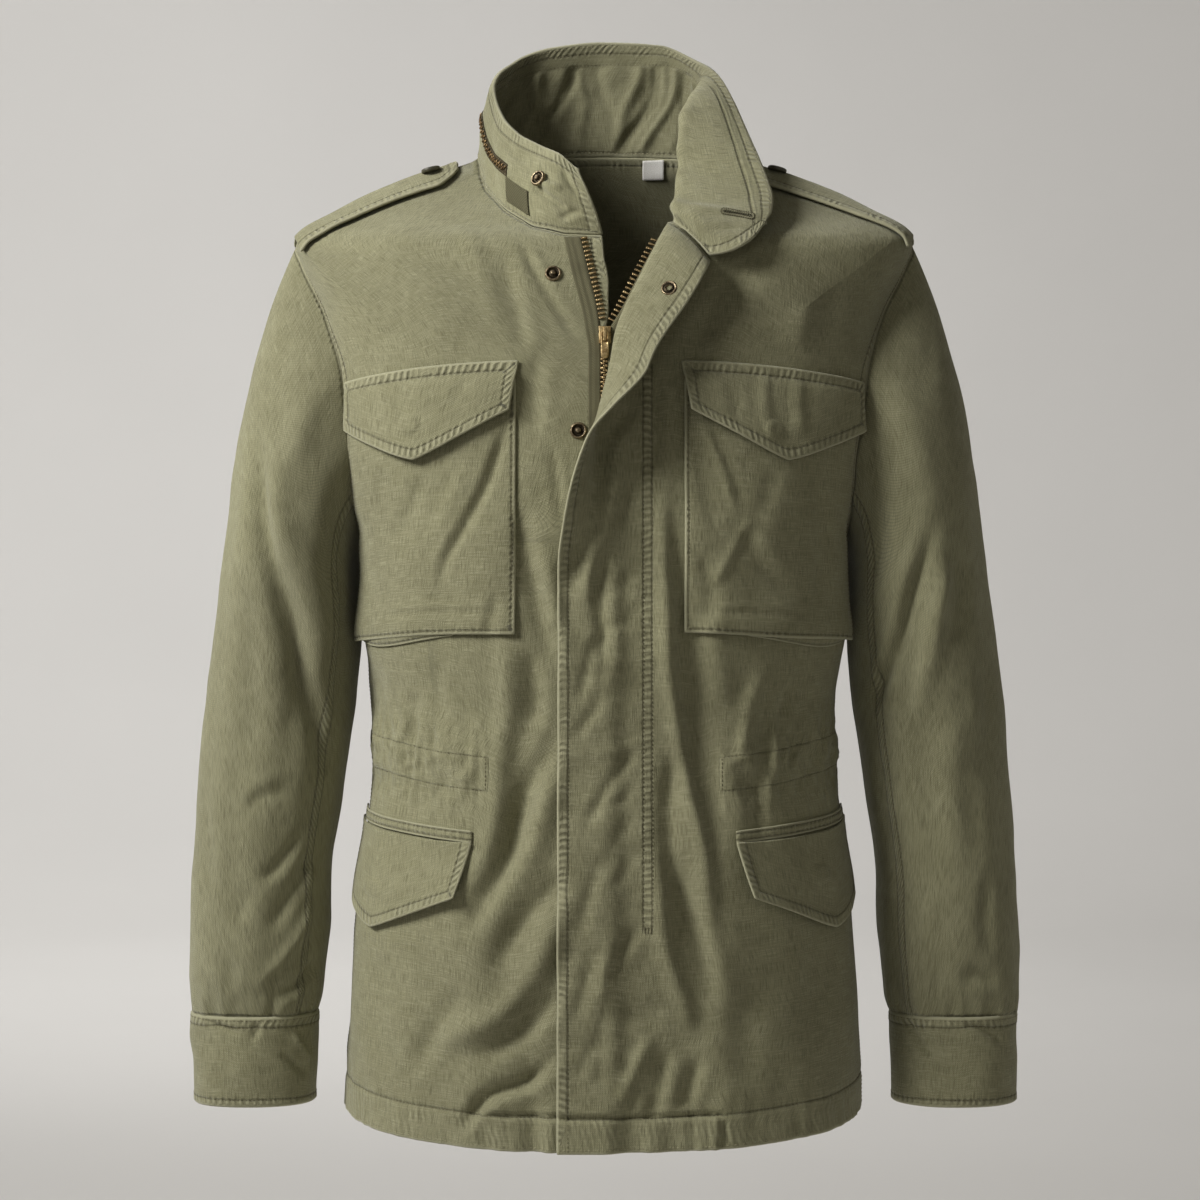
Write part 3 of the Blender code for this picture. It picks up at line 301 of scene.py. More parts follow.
def lattice_of(rows, cols):
    """Shares across and down a patch, as a row and a column."""
    return np.linspace(0, 1, cols)[None, :], np.linspace(0, 1, rows)[:, None]


def uneven(points, size, seed):
    """Soft random unevenness from -1 to 1 at points, with bumps of about a size."""
    lattice = np.random.RandomState(seed).uniform(-1, 1, (32, 32, 32))
    place = np.asarray(points, float) / size + 500.0
    cell = np.floor(place).astype(int)
    part = smooth(place - cell)
    total = 0.0
    for corner in range(8):
        step = np.array((corner & 1, corner >> 1 & 1, corner >> 2))
        index = (cell + step) % 32
        share = np.where(step, part, 1 - part).prod(axis=-1)
        total = total + share * lattice[index[..., 0], index[..., 1], index[..., 2]]
    return total


def smooth_line(points):
    """Points along a smooth curve through a few."""
    rows = np.array(points, float)
    rows = np.concatenate((2 * rows[:1] - rows[1:2], rows, 2 * rows[-1:] - rows[-2:-1]))
    s = np.linspace(0, 1, 9)[:-1, None]
    parts = []
    for a, b, c, d in zip(rows, rows[1:], rows[2:], rows[3:]):
        parts.append(0.5 * (2 * b + (c - a) * s + (2 * a - 5 * b + 4 * c - d) * s ** 2
                            + (3 * b - a - 3 * c + d) * s ** 3))
    return np.concatenate(parts + [rows[-2:-1]])


def crease_heights(table, across, up):
    """Height of a table of creases over places on the cloth."""
    total = np.zeros(np.broadcast(across, up).shape)
    for points, width, depth in table:
        curve = smooth_line(points)
        reach = 3.2 * width
        low, high = curve.min(axis=0) - reach, curve.max(axis=0) + reach
        near = (across > low[0]) & (across < high[0]) & (up > low[1]) & (up < high[1])
        if not near.any():
            continue
        x, z = across[near], up[near]
        step = np.diff(curve, axis=0)
        away = np.stack((x, z), axis=-1)[:, None] - curve[:-1]
        run = np.clip((away * step).sum(axis=-1) / (step ** 2).sum(axis=-1), 0, 1)
        off = away - step * run[..., None]
        gap = np.linalg.norm(off, axis=-1)
        best = gap.argmin(axis=1)
        rows = np.arange(len(x))
        side = np.sign(step[best, 0] * off[rows, best, 1] - step[best, 1] * off[rows, best, 0])
        along = (best + run[rows, best]) / len(step)
        ends = smooth(along / 0.28) * smooth((1 - along) / 0.28)
        gap = gap[rows, best]
        ridge = bell((gap * side - 1.7 * width) / width) * CREASE_SHOULDER
        total[near] += depth * ends * (bell(gap / width) - ridge)
    return total


def column(table, index, where):
    """Read a column of a table at a height, with a curve that never overshoots the rows."""
    rows = np.array(sorted(table), dtype=float)
    xs, ys = rows[:, 0], rows[:, index]
    step = np.diff(xs)
    slope = np.diff(ys) / step
    tangent = np.zeros(len(xs))
    tangent[0], tangent[-1] = slope[0], slope[-1]
    rising = slope[:-1] * slope[1:] > 0
    mean = 2 * slope[:-1] * slope[1:] / np.where(rising, slope[:-1] + slope[1:], 1)
    tangent[1:-1] = np.where(rising, mean, 0)
    where = np.clip(where, xs[0], xs[-1])
    i = np.clip(np.searchsorted(xs, where) - 1, 0, len(step) - 1)
    s = (where - xs[i]) / step[i]
    return (ys[i] * (1 + 2 * s) * (1 - s) ** 2 + ys[i + 1] * s * s * (3 - 2 * s)
            + step[i] * s * (1 - s) * (tangent[i] * (1 - s) - tangent[i + 1] * s))


def power(value, exponent):
    """Power that keeps the sign."""
    return np.sign(value) * np.abs(value) ** exponent


def depth_at(z, front):
    """Depth of the body form, to the front or to the back."""
    return np.where(front, column(SECTIONS, 2, z), column(SECTIONS, 3, z))


def body(z, turn):
    """Point of the plain body form; turn is 0 at the centre front and +90 at the left side."""
    z, turn = np.broadcast_arrays(np.asarray(z, float), np.asarray(turn, float))
    angle = np.radians(turn)
    depth = depth_at(z, np.abs(turn) <= 90)
    x = column(SECTIONS, 1, z) * power(np.sin(angle), 2 / SQUARE)
    y = -depth * power(np.cos(angle), 2 / SQUARE)
    return np.stack((x, y, z), axis=-1)


def body_normal(z, turn):
    """Direction out of the plain body form."""
    z, turn = np.broadcast_arrays(np.asarray(z, float), np.asarray(turn, float))
    front = np.abs(turn) <= 90
    half, depth = column(SECTIONS, 1, z), depth_at(z, front)
    half_up, half_down = column(SECTIONS, 1, z + 1), column(SECTIONS, 1, z - 1)
    depth_up, depth_down = depth_at(z + 1, front), depth_at(z - 1, front)
    point = body(z, turn)
    u, v = np.abs(point[..., 0]) / half, np.abs(point[..., 1]) / depth
    spread = u ** SQUARE * (half_up - half_down) / (2 * half)
    lean = v ** SQUARE * (depth_up - depth_down) / (2 * depth)
    normal = np.stack((np.sign(point[..., 0]) * u ** (SQUARE - 1) / half,
                       np.sign(point[..., 1]) * v ** (SQUARE - 1) / depth,
                       -(spread + lean)), axis=-1)
    return unit(normal)


def turn_at_x(x, z):
    """Turn whose point on the body form lies at a distance x from the middle."""
    ratio = np.clip(np.abs(x) / column(SECTIONS, 1, z), 0, 1)
    return np.sign(x) * np.degrees(np.arcsin(ratio ** (SQUARE / 2)))


def turn_at_girth(girth, z):
    """Turn at a distance round the body from the centre front."""
    girth, z = np.broadcast_arrays(np.asarray(girth, float), np.asarray(z, float))
    turns = np.linspace(0, 180, 121)
    path = body(z[..., None], turns)
    run = np.linalg.norm(np.diff(path[..., :2], axis=-2), axis=-1).cumsum(axis=-1)
    run = np.concatenate((np.zeros(run.shape[:-1] + (1,)), run), axis=-1)
    wanted = np.abs(girth)[..., None]
    i = np.clip((run < wanted).sum(axis=-1, keepdims=True) - 1, 0, len(turns) - 2)
    low = np.take_along_axis(run, i, -1)
    high = np.take_along_axis(run, i + 1, -1)
    part = ((wanted - low) / (high - low))[..., 0]
    return np.sign(girth) * (turns[i[..., 0]] + part * (turns[1] - turns[0]))


def folds(z, turn):
    """How far the cloth stands off the plain form."""
    point = body(z, turn)
    x = point[..., 0]
    front = np.abs(turn) <= 90
    fade = 1 - np.abs(np.sin(np.radians(turn))) ** 10
    total = np.zeros(x.shape)
    for table, mask in ((FRONT_FOLDS, front), (BACK_FOLDS, ~front)):
        for x0, z0, x1, z1, width, depth in table:
            along = (z - z0) / (z1 - z0)
            line = x0 + (x1 - x0) * along
            ends = smooth(along / 0.3) * smooth((1.3 - along) / 0.3)
            total += mask * ends * depth * bell((x - line) / width)
    middle = np.where(front, smooth((np.abs(x) - 34) / 22), 1)
    waist = bell((z - WAIST_Z) / GATHER_REACH)
    total += GATHER_DEPTH * waist * np.cos(math.tau * x / GATHER_PITCH)
    return total * middle * fade


def grid_normals(grid, around):
    """Normals of a grid of points; around closes it over its columns."""
    if around:
        across = np.roll(grid, -1, axis=1) - np.roll(grid, 1, axis=1)
    else:
        across = np.gradient(grid, axis=1)
    along = np.gradient(grid, axis=0)
    normal = np.cross(across, along)
    return unit(normal)


def casing_edge(turn, top):
    """Height of the casing's upper or lower stitches."""
    rows = np.array(CASING)
    return np.interp(np.abs(turn), rows[:, 0], rows[:, 1]) - (0.0 if top else CASING_HEIGHT)


def casing_relief(z, turn):
    """Height of the casing and of its gathers over the cloth."""
    top, low = casing_edge(turn, True), casing_edge(turn, False)
    start = smooth((np.abs(turn) - CASING_TURN + 0.6) / 1.2)
    inside = smooth((z - low) / 1.6 + 0.5) * smooth((top - z) / 1.6 + 0.5)
    beyond = np.maximum(np.maximum(z - top, low - z), 0)
    place = np.stack((turn * 3.0, z * 0.3, 0 * z), axis=-1)
    waves = uneven(place, 6.5, 61) + 0.5 * uneven(place * (1, 3.3, 1), 5.0, 62)
    fade = smooth((np.abs(turn) - CASING_TURN + 3) / 10)
    groove = bell((z - top) / 1.3) + bell((z - low) / 1.3)
    return (start * (0.75 * inside - 0.4 * groove)
            + fade * waves * (2.6 * inside + 2.4 * (1 - inside) * bell(beyond / 21)))


def lapel_relief(x, z):
    """Ridge along the fold of the turned-out fly, falling away towards the wearer's left."""
    rows = np.array(LAPEL_RIDGE)
    height = np.interp(-z, -rows[:, 0], rows[:, 1])
    away = x - column(CENTRE_EDGES, 2, z)
    return height * bell(away / np.where(away < 0, 11, 30))


def hem_relief(x, z, turn):
    """Gathers of the hem's cord channel."""
    up = z - hem_height(np.abs(turn))
    window = 1 - smooth((up - HEM_BAND - 4) / 14)
    share = 0.3 + 0.7 * smooth((98 - np.abs(x)) / 10)
    waves = uneven(np.stack((turn * 3.0, up * 0.12, 0 * up), axis=-1), 5.0, 63)
    pulled = 0.6 + 2.6 * smooth((88 - np.abs(x)) / 4)
    return window * (share * 2.6 * waves - pulled * bell((up - HEM_BAND) / 2.0))


def crumple(x, z):
    """Small sharp wrinkles in the doubled cloth of the fly."""
    window = smooth((x + 36) / 10) * smooth((44 - x) / 12) * smooth((-215 - z) / 50)
    place = np.stack((x * 0.45 + z * 0.2, z - x * 0.35, 0 * x), axis=-1)
    return window * (0.55 * uneven(place, 11.0, 71) + 0.4 * uneven(place, 5.5, 72))


def side_relief(z, turn):
    """The side leans back where the sleeve touches it."""
    turn = np.abs(turn)
    window = smooth((-276 - z) / 20) * smooth((z + 385) / 24)
    return 2.4 * window * (bell((turn - 77) / 8) - bell((turn - 103) / 8))


def cloth_relief(z, turn):
    """Folds with the creases and the unevenness over them."""
    z, turn = np.broadcast_arrays(np.asarray(z, float), np.asarray(turn, float))
    point = body(z, turn)
    front = np.abs(turn) <= 90
    fade = 1 - np.abs(np.sin(np.radians(turn))) ** 14
    x = point[..., 0]
    total = np.where(front, FRONT_GAIN * crease_heights(FRONT_CREASES, x, z) + lapel_relief(x, z)
                     + crumple(x, z),
                     BACK_GAIN * crease_heights(BACK_CREASES, x, z)) * fade
    for seed, (size, height) in enumerate(RIPPLES):
        total += height * uneven(point, size, seed) * (0.45 + 0.55 * smooth((-90 - z) / 60))
    total += hem_relief(x, z, turn) + side_relief(z, turn)
    return total + 0.4 * folds(z, turn) + casing_relief(z, turn)


# ----------------------------------------------------- draped cloth and shells
def drape(z, turn, lift=0.0):
    """Point of the draped body cloth, moved out by lift."""
    out = cloth_relief(z, turn) + lift
    return body(z, turn) + body_normal(z, turn) * np.asarray(out)[..., None]


def edge_distances(grid):
    """Distance of each point of a grid from its first and last column and first and last row."""
    across, along = run_along(grid, 1), run_along(grid)
    return across, across[:, -1:] - across, along, along[-1:] - along


def ride_new(name, points, faces, look, replaced=(), body_name="jacket", uv=None, fields=None):
    """Make a visible piece from points in millimetres and put it on its body."""
    mesh = bpy.data.meshes.new(name)
    mesh.from_pydata((np.asarray(points) * MM).tolist(), [], faces)
    if uv is not None:
        layer = mesh.uv_layers.new(name="cloth")
        layer.data.foreach_set("uv", np.asarray(uv, float).ravel())
    for field, values in (fields or {}).items():
        layer = mesh.attributes.new(field, "FLOAT", "POINT")
        layer.data.foreach_set("value", np.asarray(values, float).ravel())
    mesh.materials.append(look)
    if uv is None:
        solid = bmesh.new()
        solid.from_mesh(mesh)
        bmesh.ops.recalc_face_normals(solid, faces=list(solid.faces))
        solid.to_mesh(mesh)
        solid.free()
    mesh.shade_smooth()
    made = bpy.data.objects.new(name, mesh)
    bpy.context.collection.objects.link(made)
    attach(made, body_name)
    if replaced:
        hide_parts(*replaced)
    return made


def shell(name, outer, inner, look, replaced=(), around=False, fields=None, uv=None, unfaded_and_shade=1.0):
    """Close two grids of points into a cloth shell whose free edges are rounded.

    The last argument gives how much darker the inner face is painted: partly its less faded cloth,
    partly painted shade inside the jacket.
    """
    fields = fields or {}
    rows, cols = outer.shape[:2]
    last = cols if around else cols - 1
    count = rows * cols
    r, c = (part.ravel() for part in np.mgrid[0:rows - 1, 0:last])
    corner_rows = np.stack((r, r, r + 1, r + 1), axis=1)
    corner_cols = np.stack((c, c + 1, c + 1, c), axis=1)
    if uv is None:
        right, _, up, _ = edge_distances(outer)
        uv = np.stack((right, up), axis=-1)
    if around:
        girth = np.linalg.norm(outer[:, :1] - outer[:, -1:], axis=-1) + uv[:, -1:, 0]
        uv = np.concatenate((uv, np.stack((girth, uv[:, :1, 1]), axis=-1)), axis=1)
    front = corner_rows * cols + corner_cols % cols
    faces = [front, front[:, ::-1] + count]
    places = uv[corner_rows, corner_cols] * MM
    corners = [places, places[:, ::-1]]
    if around:
        ring_cols = np.arange(cols)
        loops = [(np.zeros(cols, int), ring_cols, 1), (np.full(cols, rows - 1), ring_cols, -1)]
    else:
        ring_rows = np.concatenate((np.zeros(cols - 1), np.arange(rows - 1),
                                    np.full(cols - 1, rows - 1), np.arange(rows - 1, 0, -1)))
        ring_cols = np.concatenate((np.arange(cols - 1), np.full(rows - 1, cols - 1),
                                    np.arange(cols - 1, 0, -1), np.zeros(rows - 1)))
        loops = [(ring_rows.astype(int), ring_cols.astype(int), 1)]
    rims = []
    values = {key: [np.asarray(item).ravel()] * 2 for key, item in fields.items()}
    start = 2 * count
    if fields:
        # The inner face's field darkens it in the cloth's material: partly less faded cloth,
        # partly painted shade.
        values["inside"] = [np.zeros(count), np.broadcast_to(unfaded_and_shade, (rows, cols)).ravel()]
    for ring_rows, ring_cols, way in loops:
        inside_rows = np.clip(ring_rows, 1, rows - 2)
        inside_cols = ring_cols if around else np.clip(ring_cols, 1, cols - 2)
        out = outer[ring_rows, ring_cols] - outer[inside_rows, inside_cols]
        out /= np.linalg.norm(out, axis=-1, keepdims=True) + 1e-9
        top, low = outer[ring_rows, ring_cols], inner[ring_rows, ring_cols]
        thick = np.linalg.norm(top - low, axis=-1, keepdims=True)
        rims.append((top + low) / 2 + out * thick * 0.45)
        size = len(ring_rows)
        this = ring_rows * cols + ring_cols
        then = np.roll(this, -1)
        mid = start + np.arange(size)
        next_mid = np.roll(mid, -1)
        bands = (np.stack((then, this, mid, next_mid), axis=1),
                 np.stack((next_mid, mid, this + count, then + count), axis=1))
        place = uv[ring_rows, ring_cols] * MM
        after = np.roll(place, -1, axis=0)
        if around:
            after[-1] = uv[ring_rows[0], cols] * MM
        for band in bands:
            faces.append(band[:, ::way])
            corners.append(np.stack((after, place, place, after), axis=1)[:, ::way])
        for key, item in fields.items():
            values[key].append(np.asarray(item)[ring_rows, ring_cols])
        if fields:
            values["inside"].append(np.zeros(size))
        start += size
    points = np.concatenate([outer.reshape(-1, 3), inner.reshape(-1, 3)] + rims)
    faces = np.concatenate(faces)
    middle = outer.reshape(-1, 3).mean(axis=0)
    quad = points[faces]
    area = np.cross(quad[:, 2] - quad[:, 0], quad[:, 3] - quad[:, 1])
    if ((quad.mean(axis=1) - middle) * area).sum() < 0:
        faces = faces[:, ::-1]
        corners = [item[:, ::-1] for item in corners]
    return ride_new(name, points, faces.tolist(), look, replaced,
                    uv=np.concatenate(corners).reshape(-1, 2),
                    fields={key: np.concatenate(item) for key, item in values.items()})


# --------------------------------------------------------------- body panels
def spaced(marks):
    """Shares between marks of (place, step that follows), closer where the step is smaller."""
    values = []
    for (start, step), (end, _) in zip(marks[:-1], marks[1:]):
        count = max(1, math.ceil((end - start) / step))
        values.append(start + (end - start) * np.arange(count) / count)
    return np.concatenate(values + [[marks[-1][0]]])


def neck_share(start_x):
    """Share of a panel's top edge that is neckline."""
    sideways = NECK_X - start_x
    return sideways / (sideways + 1.6 * (NECK_Z - TIP_Z))


def neck_height(x, back):
    """Height of the neckline at a distance from the middle."""
    rows = np.array(NECKLINE, dtype=float)
    return np.interp(np.abs(x), rows[:, 0], rows[:, 2 if back else 1])


def top_edge(share, start_x, back):
    """Height and turn along a panel's neckline, then its shoulder seam, from the middle out."""
    sideways = NECK_X - start_x
    down = TIP_Z - NECK_Z
    corner = neck_share(start_x)
    x = start_x + sideways * np.clip(share / corner, 0, 1)
    z = neck_height(x, back)
    outside = np.clip((share - corner) / (1 - corner), 0, 1)
    z = np.where(share > corner, NECK_Z + down * outside, z)
    turn = np.where(share > corner, 90, turn_at_x(np.minimum(x, NECK_X), z))
    if back:
        turn = np.where(share > corner, 90, np.degrees(np.arcsin(
            np.clip((x / column(SECTIONS, 1, z)) ** (SQUARE / 2), 0, 1))))
    return z, turn


def hem_height(turn):
    """Height of the hem's edge."""
    swing = np.cos(np.radians(turn))
    return HEM_SIDE_Z - np.where(swing > 0, HEM_FRONT_DROP, HEM_BACK_DROP) * np.abs(swing) ** 1.5


def panel_places(share, rows, back, edge):
    """Heights and turns of a half panel; edge gives the x of its inner edge at a height."""
    start_x = 0 if back else edge(FRONT_TOP_Z)
    share = np.asarray(share)[None, :]
    v = np.asarray(rows)[:, None]
    z_top, turn_top = top_edge(share, start_x, back)
    low = 90 * share
    z_hem = hem_height(180 - low if back else low)
    z = z_hem + (z_top - z_hem) * v
    arm = 2 if back else 1

    def turn_low(height):
        inner = 0 if back else turn_at_x(edge(height), height)
        outer = np.where(height > UNDERARM_Z, column(ARMHOLE, arm, height), 90)
        return inner + (outer - inner) * share

    blend = smooth((v - 0.72) / 0.28)
    return z, turn_low(z) + blend * (turn_top - turn_low(z_top))


def edge_right(height):
    return -column(CENTRE_EDGES, 1, height)


def edge_left(height):
    return column(CENTRE_EDGES, 2, height)


def left_rise(x, z):
    """Rise of the left front towards its fold, so that the fly clears the right front."""
    return FLY_RISE * (1 - smooth((np.abs(x) - edge_left(z) - 2) / 16))


def fly_strip(z, share):
    """Points of the storm fly beside the left front's fold, at a share of its width."""
    width, out, drop = columns(FLY, z, 1, 2, 3)
    start = drape(z, turn_at_x(edge_left(z), z), FLY_RISE)
    point = start.copy()
    steps = 24
    for step in range(steps):
        part = (step + 0.5) / steps
        angle = np.radians(out * smooth(part * share * width / FLY_ROLL))
        move = share * width / steps
        point[..., 0] -= np.cos(angle) * move
        point[..., 1] -= np.sin(angle) * move
    shut = 1 - smooth(out / 50)
    here = FRONT_GAIN * crease_heights(FRONT_CREASES, point[..., 0], point[..., 2])
    there = FRONT_GAIN * crease_heights(FRONT_CREASES, start[..., 0], start[..., 2])
    point[..., 1] -= (here - there) * shut
    point[..., 2] -= share ** 1.6 * drop
    return point


PANEL_ROWS = spaced(((0, 0.0026), (0.045, 0.0056), (0.37, 0.0036), (0.44, 0.0056),
                     (0.94, 0.0036), (1, 0)))
PANEL_SIDE = ((0.93, 0.009), (1, 0))       # columns beside the armhole and the side seam
FRONT_FIRST = (0.06, 0.0115)               # where the wider columns start, and their width
BACK_FIRST = (0.06, 0.0125)
FLY_SHARES = 1 - spaced(((0, 0.03), (0.3, 0.05), (0.97, 0)))


def half_shares(start_x, first):
    """Shares of a half panel's columns."""
    corner = neck_share(start_x)
    return np.unique(np.concatenate((spaced(((0, 0.008), first, *PANEL_SIDE)), [corner])))


def front_grid(left):
    """Outer points of a front panel and the directions into its wall."""
    edge = edge_left if left else edge_right
    share = half_shares(edge(FRONT_TOP_Z), FRONT_FIRST)
    z, turn = panel_places(share, PANEL_ROWS, False, edge)
    side = 1 if left else -1
    rise = left_rise(body(z, turn)[..., 0], z) if left else 0.0
    grid = drape(z, side * turn, rise)
    inward = -body_normal(z, side * turn)
    grid[:, -1, 1] -= SEAM / 2
    if left:
        edge_z = z[:, 0]
        strip = [fly_strip(edge_z, np.full(edge_z.shape, part)) for part in FLY_SHARES]
        grid = np.concatenate((np.stack(strip, axis=1), grid), axis=1)
        turned = -grid_normals(grid, False)
        turned[:, len(FLY_SHARES) + 1:] = inward[:, 1:]
        inward = turned
    return grid, inward


def back_grid():
    """Outer points of the back and the directions into its wall."""
    share = half_shares(0, BACK_FIRST)
    z, turn = panel_places(share, PANEL_ROWS, True, None)
    turn = np.concatenate((turn[:, ::-1] - 180, 180 - turn[:, 1:]), axis=1)
    z = np.concatenate((z[:, ::-1], z[:, 1:]), axis=1)
    grid = drape(z, turn)
    grid[:, (0, -1), 1] += SEAM / 2
    return grid, -body_normal(z, turn)


# -------------------------------------------------------------- sleeves, cuffs
# Sleeve rings: height, distance from the middle, half width, half depth, centre towards the back.
SLEEVE_RINGS = (
    (-368, 247, 57, 66, 0),
    (-431, 254, 58, 63, 0),
    (-490, 260, 56.5, 60, -2),
    (-540, 265, 54, 57, -5),
    (-584, 266.5, 54.5, 54, -8),
    (-622, 268.5, 52.5, 50, -11),
    (-643, 269.5, 50.5, 46, -12),
    (-655, 270.5, 48, 42.5, -13),
)
CUFF_RINGS = (
    (-655.4, 270.5, 49, 43.5, -13),
    (-668, 270.5, 49, 43.5, -13),
    (-705, 270.5, 48, 42.5, -14),
    (-722, 270.5, 47.5, 42, -14),
)
SLEEVE_SQUARE = 2.2
# Sleeve folds: turn (0 outside, 90 in front) and height at both ends, half width, depth.
SLEEVE_FOLDS = (
    (62, -250, 78, -640, 13, -4.5),
    (100, -270, 108, -600, 12, -4),
    (30, -180, 44, -520, 12, -3.5),
    (135, -330, 128, -560, 12, -3),
    (-50, -230, -74, -640, 14, -4.5),
    (-105, -280, -98, -600, 13, -4),
    (-20, -330, -30, -640, 13, -3),
)
CUFF_FINE_Z = -664.0       # finer rows above this height
CUFF_WAVES = 9
CUFF_WAVE_DEPTH = 1.8
CUFF_WAVE_REACH = 42.0


def ring(table, z, turn):
    """Points of a sleeve's or cuff's plain form."""
    centre, half, depth, back = columns(table, z, 1, 2, 3, 4)
    angle = np.radians(turn)
    x = centre + half * power(np.cos(angle), 2 / SLEEVE_SQUARE)
    y = back - depth * power(np.sin(angle), 2 / SLEEVE_SQUARE)
    return np.stack(np.broadcast_arrays(x, y, z), axis=-1)


SLEEVE_SEAMS = (136.0, 236.0)      # turns of the sleeve's two seams
# Creases of the sleeves: points (turn, height) along a curve, half width, depth.
SLEEVE_CREASES = {
    "right": (
        (((70, -180), (72, -209), (75, -240)), 8.2, -1.7),
        (((48, -190), (58, -230), (66, -265), (77, -298), (92, -337), (110, -392), (131, -445),
          (142, -480)), 8.5, -7.5),
        (((101, -291), (119, -335), (133, -398)), 7.6, 2.2),
        (((73, -153), (89, -184), (105, -217)), 6.2, -3),
        (((105, -217), (132, -275), (137, -337)), 7.2, -2.2),
        (((80, -500), (92, -485), (111, -481)), 6.2, -1.8),
        (((127, -510), (110, -535), (90, -553)), 5.1, -2.4),
        (((140, -528), (124, -553), (97, -593)), 5.7, -2.7),
        (((142, -564), (122, -603), (90, -636)), 5.7, 2.7),
        (((151, -611), (134, -628), (105, -642)), 5.1, -3),
        (((89, -547), (82, -568), (78, -586)), 6.2, -1.2),
        (((100, -375), (107, -413), (104, -444)), 8.2, -1.4),
        (((69, -368), (79, -413), (79, -458)), 7.6, -1.4),
        (((129, -593), (115, -617), (99, -629)), 4.1, -1.7),
        (((68, -611), (76, -621), (72, -640)), 5.1, -1.2),
        (((34, -489), (50, -527), (48, -566)), 7.2, -0.9),
        (((79, -169), (86, -201), (96, -238)), 8.2, 1.2),
        (((-30, -160), (-44, -230), (-52, -310)), 12, -3.4),
        (((-70, -220), (-84, -300), (-92, -390)), 12, -3.6),
        (((-118, -250), (-108, -330), (-112, -420)), 12, -2.8),
        (((-60, -400), (-72, -470), (-66, -560)), 12, -3.2),
        (((-100, -440), (-88, -500), (-96, -580)), 10, -2.8),
        (((-40, -560), (-48, -600), (-40, -648)), 8, -2.6),
        (((-84, -580), (-92, -615), (-84, -650)), 8, -2.6),
        (((-130, -560), (-122, -600), (-130, -648)), 9, -2.2),
    ),
    "left": (
        (((118, -110), (128, -172), (132, -230), (128, -290)), 12, -4.5),
        (((76, -268), (96, -321), (111, -367), (130, -398), (142, -425)), 5.2, -4.8),
        (((63, -296), (64, -337), (76, -372)), 9.1, -2.8),
        (((73, -305), (85, -353), (109, -444)), 6.8, 3.6),
        (((25, -104), (54, -152), (74, -186)), 8.2, -2.4),
        (((90, -182), (78, -162), (61, -136)), 6.2, -2.1),
        (((96, -207), (117, -261), (135, -338)), 8.2, -2),
        (((90, -629), (76, -623), (51, -628)), 7.2, -2.4),
        (((108, -617), (105, -627), (109, -640)), 4.1, -1.4),
        (((140, -446), (142, -489), (145, -529)), 8.2, -1.2),
        (((48, -368), (49, -428), (63, -489)), 9.1, -1.8),
        (((71, -413), (87, -473), (83, -535)), 9.1, 1.6),
        (((116, -413), (108, -427), (101, -446)), 5.1, -1.4),
        (((57, -535), (66, -580), (61, -611)), 6.8, -1.8),
        (((100, -549), (110, -588), (102, -611)), 6.8, 1.4),
        (((131, -535), (135, -574), (131, -611)), 8.2, -1.2),
        (((-34, -160), (-40, -240), (-50, -320)), 12, -3.2),
        (((-74, -230), (-80, -310), (-94, -390)), 12, -3.4),
        (((-114, -260), (-106, -340), (-114, -420)), 12, -2.8),
        (((-56, -420), (-70, -480), (-64, -570)), 12, -3.2),
        (((-100, -460), (-90, -520), (-98, -600)), 10, -2.8),
        (((-36, -570), (-44, -610), (-38, -650)), 8, -2.4),
        (((-80, -590), (-86, -620), (-80, -650)), 8, -2.6),
    ),
}
# Creases of the cuffs, in the same form.
CUFF_CREASES = {
    "right": (
        (((42, -655), (62, -660), (86, -668)), 2.8, -1.8),
        (((94, -656), (96, -664), (91, -673)), 3.0, -1.5),
        (((126, -667), (142, -680), (155, -692)), 4.0, 1.9),
        (((116, -682), (134, -692), (150, -701)), 3.5, -1.6),
        (((240, -662), (258, -676), (272, -694)), 4.0, -1.6),
        (((318, -658), (306, -672), (312, -690)), 4.0, -1.4),
    ),
    "left": (
        (((143, -655), (128, -672), (109, -690)), 3.5, -1.9),
        (((95, -658), (70, -664), (40, -679)), 3.5, -1.8),
        (((120, -658), (112, -668), (98, -676)), 3.0, 1.4),
        (((230, -660), (250, -674), (262, -692)), 4.0, -1.5),
        (((322, -660), (308, -676), (300, -692)), 4.0, -1.6),
    ),
}


def sleeve_folds(z, turn):
    """How far a sleeve stands off its plain form."""
    total = np.zeros(np.broadcast(z, turn).shape)
    for turn0, z0, turn1, z1, width, depth in SLEEVE_FOLDS:
        along = (z - z0) / (z1 - z0)
        away = (turn - (turn0 + (turn1 - turn0) * along) + 180) % 360 - 180
        ends = smooth(along / 0.3) * smooth((1.25 - along) / 0.25)
        total += ends * depth * bell(away / width)
    waves = CUFF_WAVE_DEPTH * np.exp((SLEEVE_RINGS[-1][0] - z) / CUFF_WAVE_REACH)
    return total + waves * np.cos(CUFF_WAVES * np.radians(turn))


def armhole_loop(turn, sign):
    """The seam of the sleeve on one side, from the shoulder tip round by the front, as a left."""
    z = TIP_Z + (UNDERARM_Z - TIP_Z) * (1 - np.cos(np.radians(turn))) / 2
    front = column(ARMHOLE, 1, z)
    back = 180 - column(ARMHOLE, 2, z)
    around = np.where(np.sin(np.radians(turn)) >= 0, front, back)
    return mirrored(drape(z, sign * around), sign)


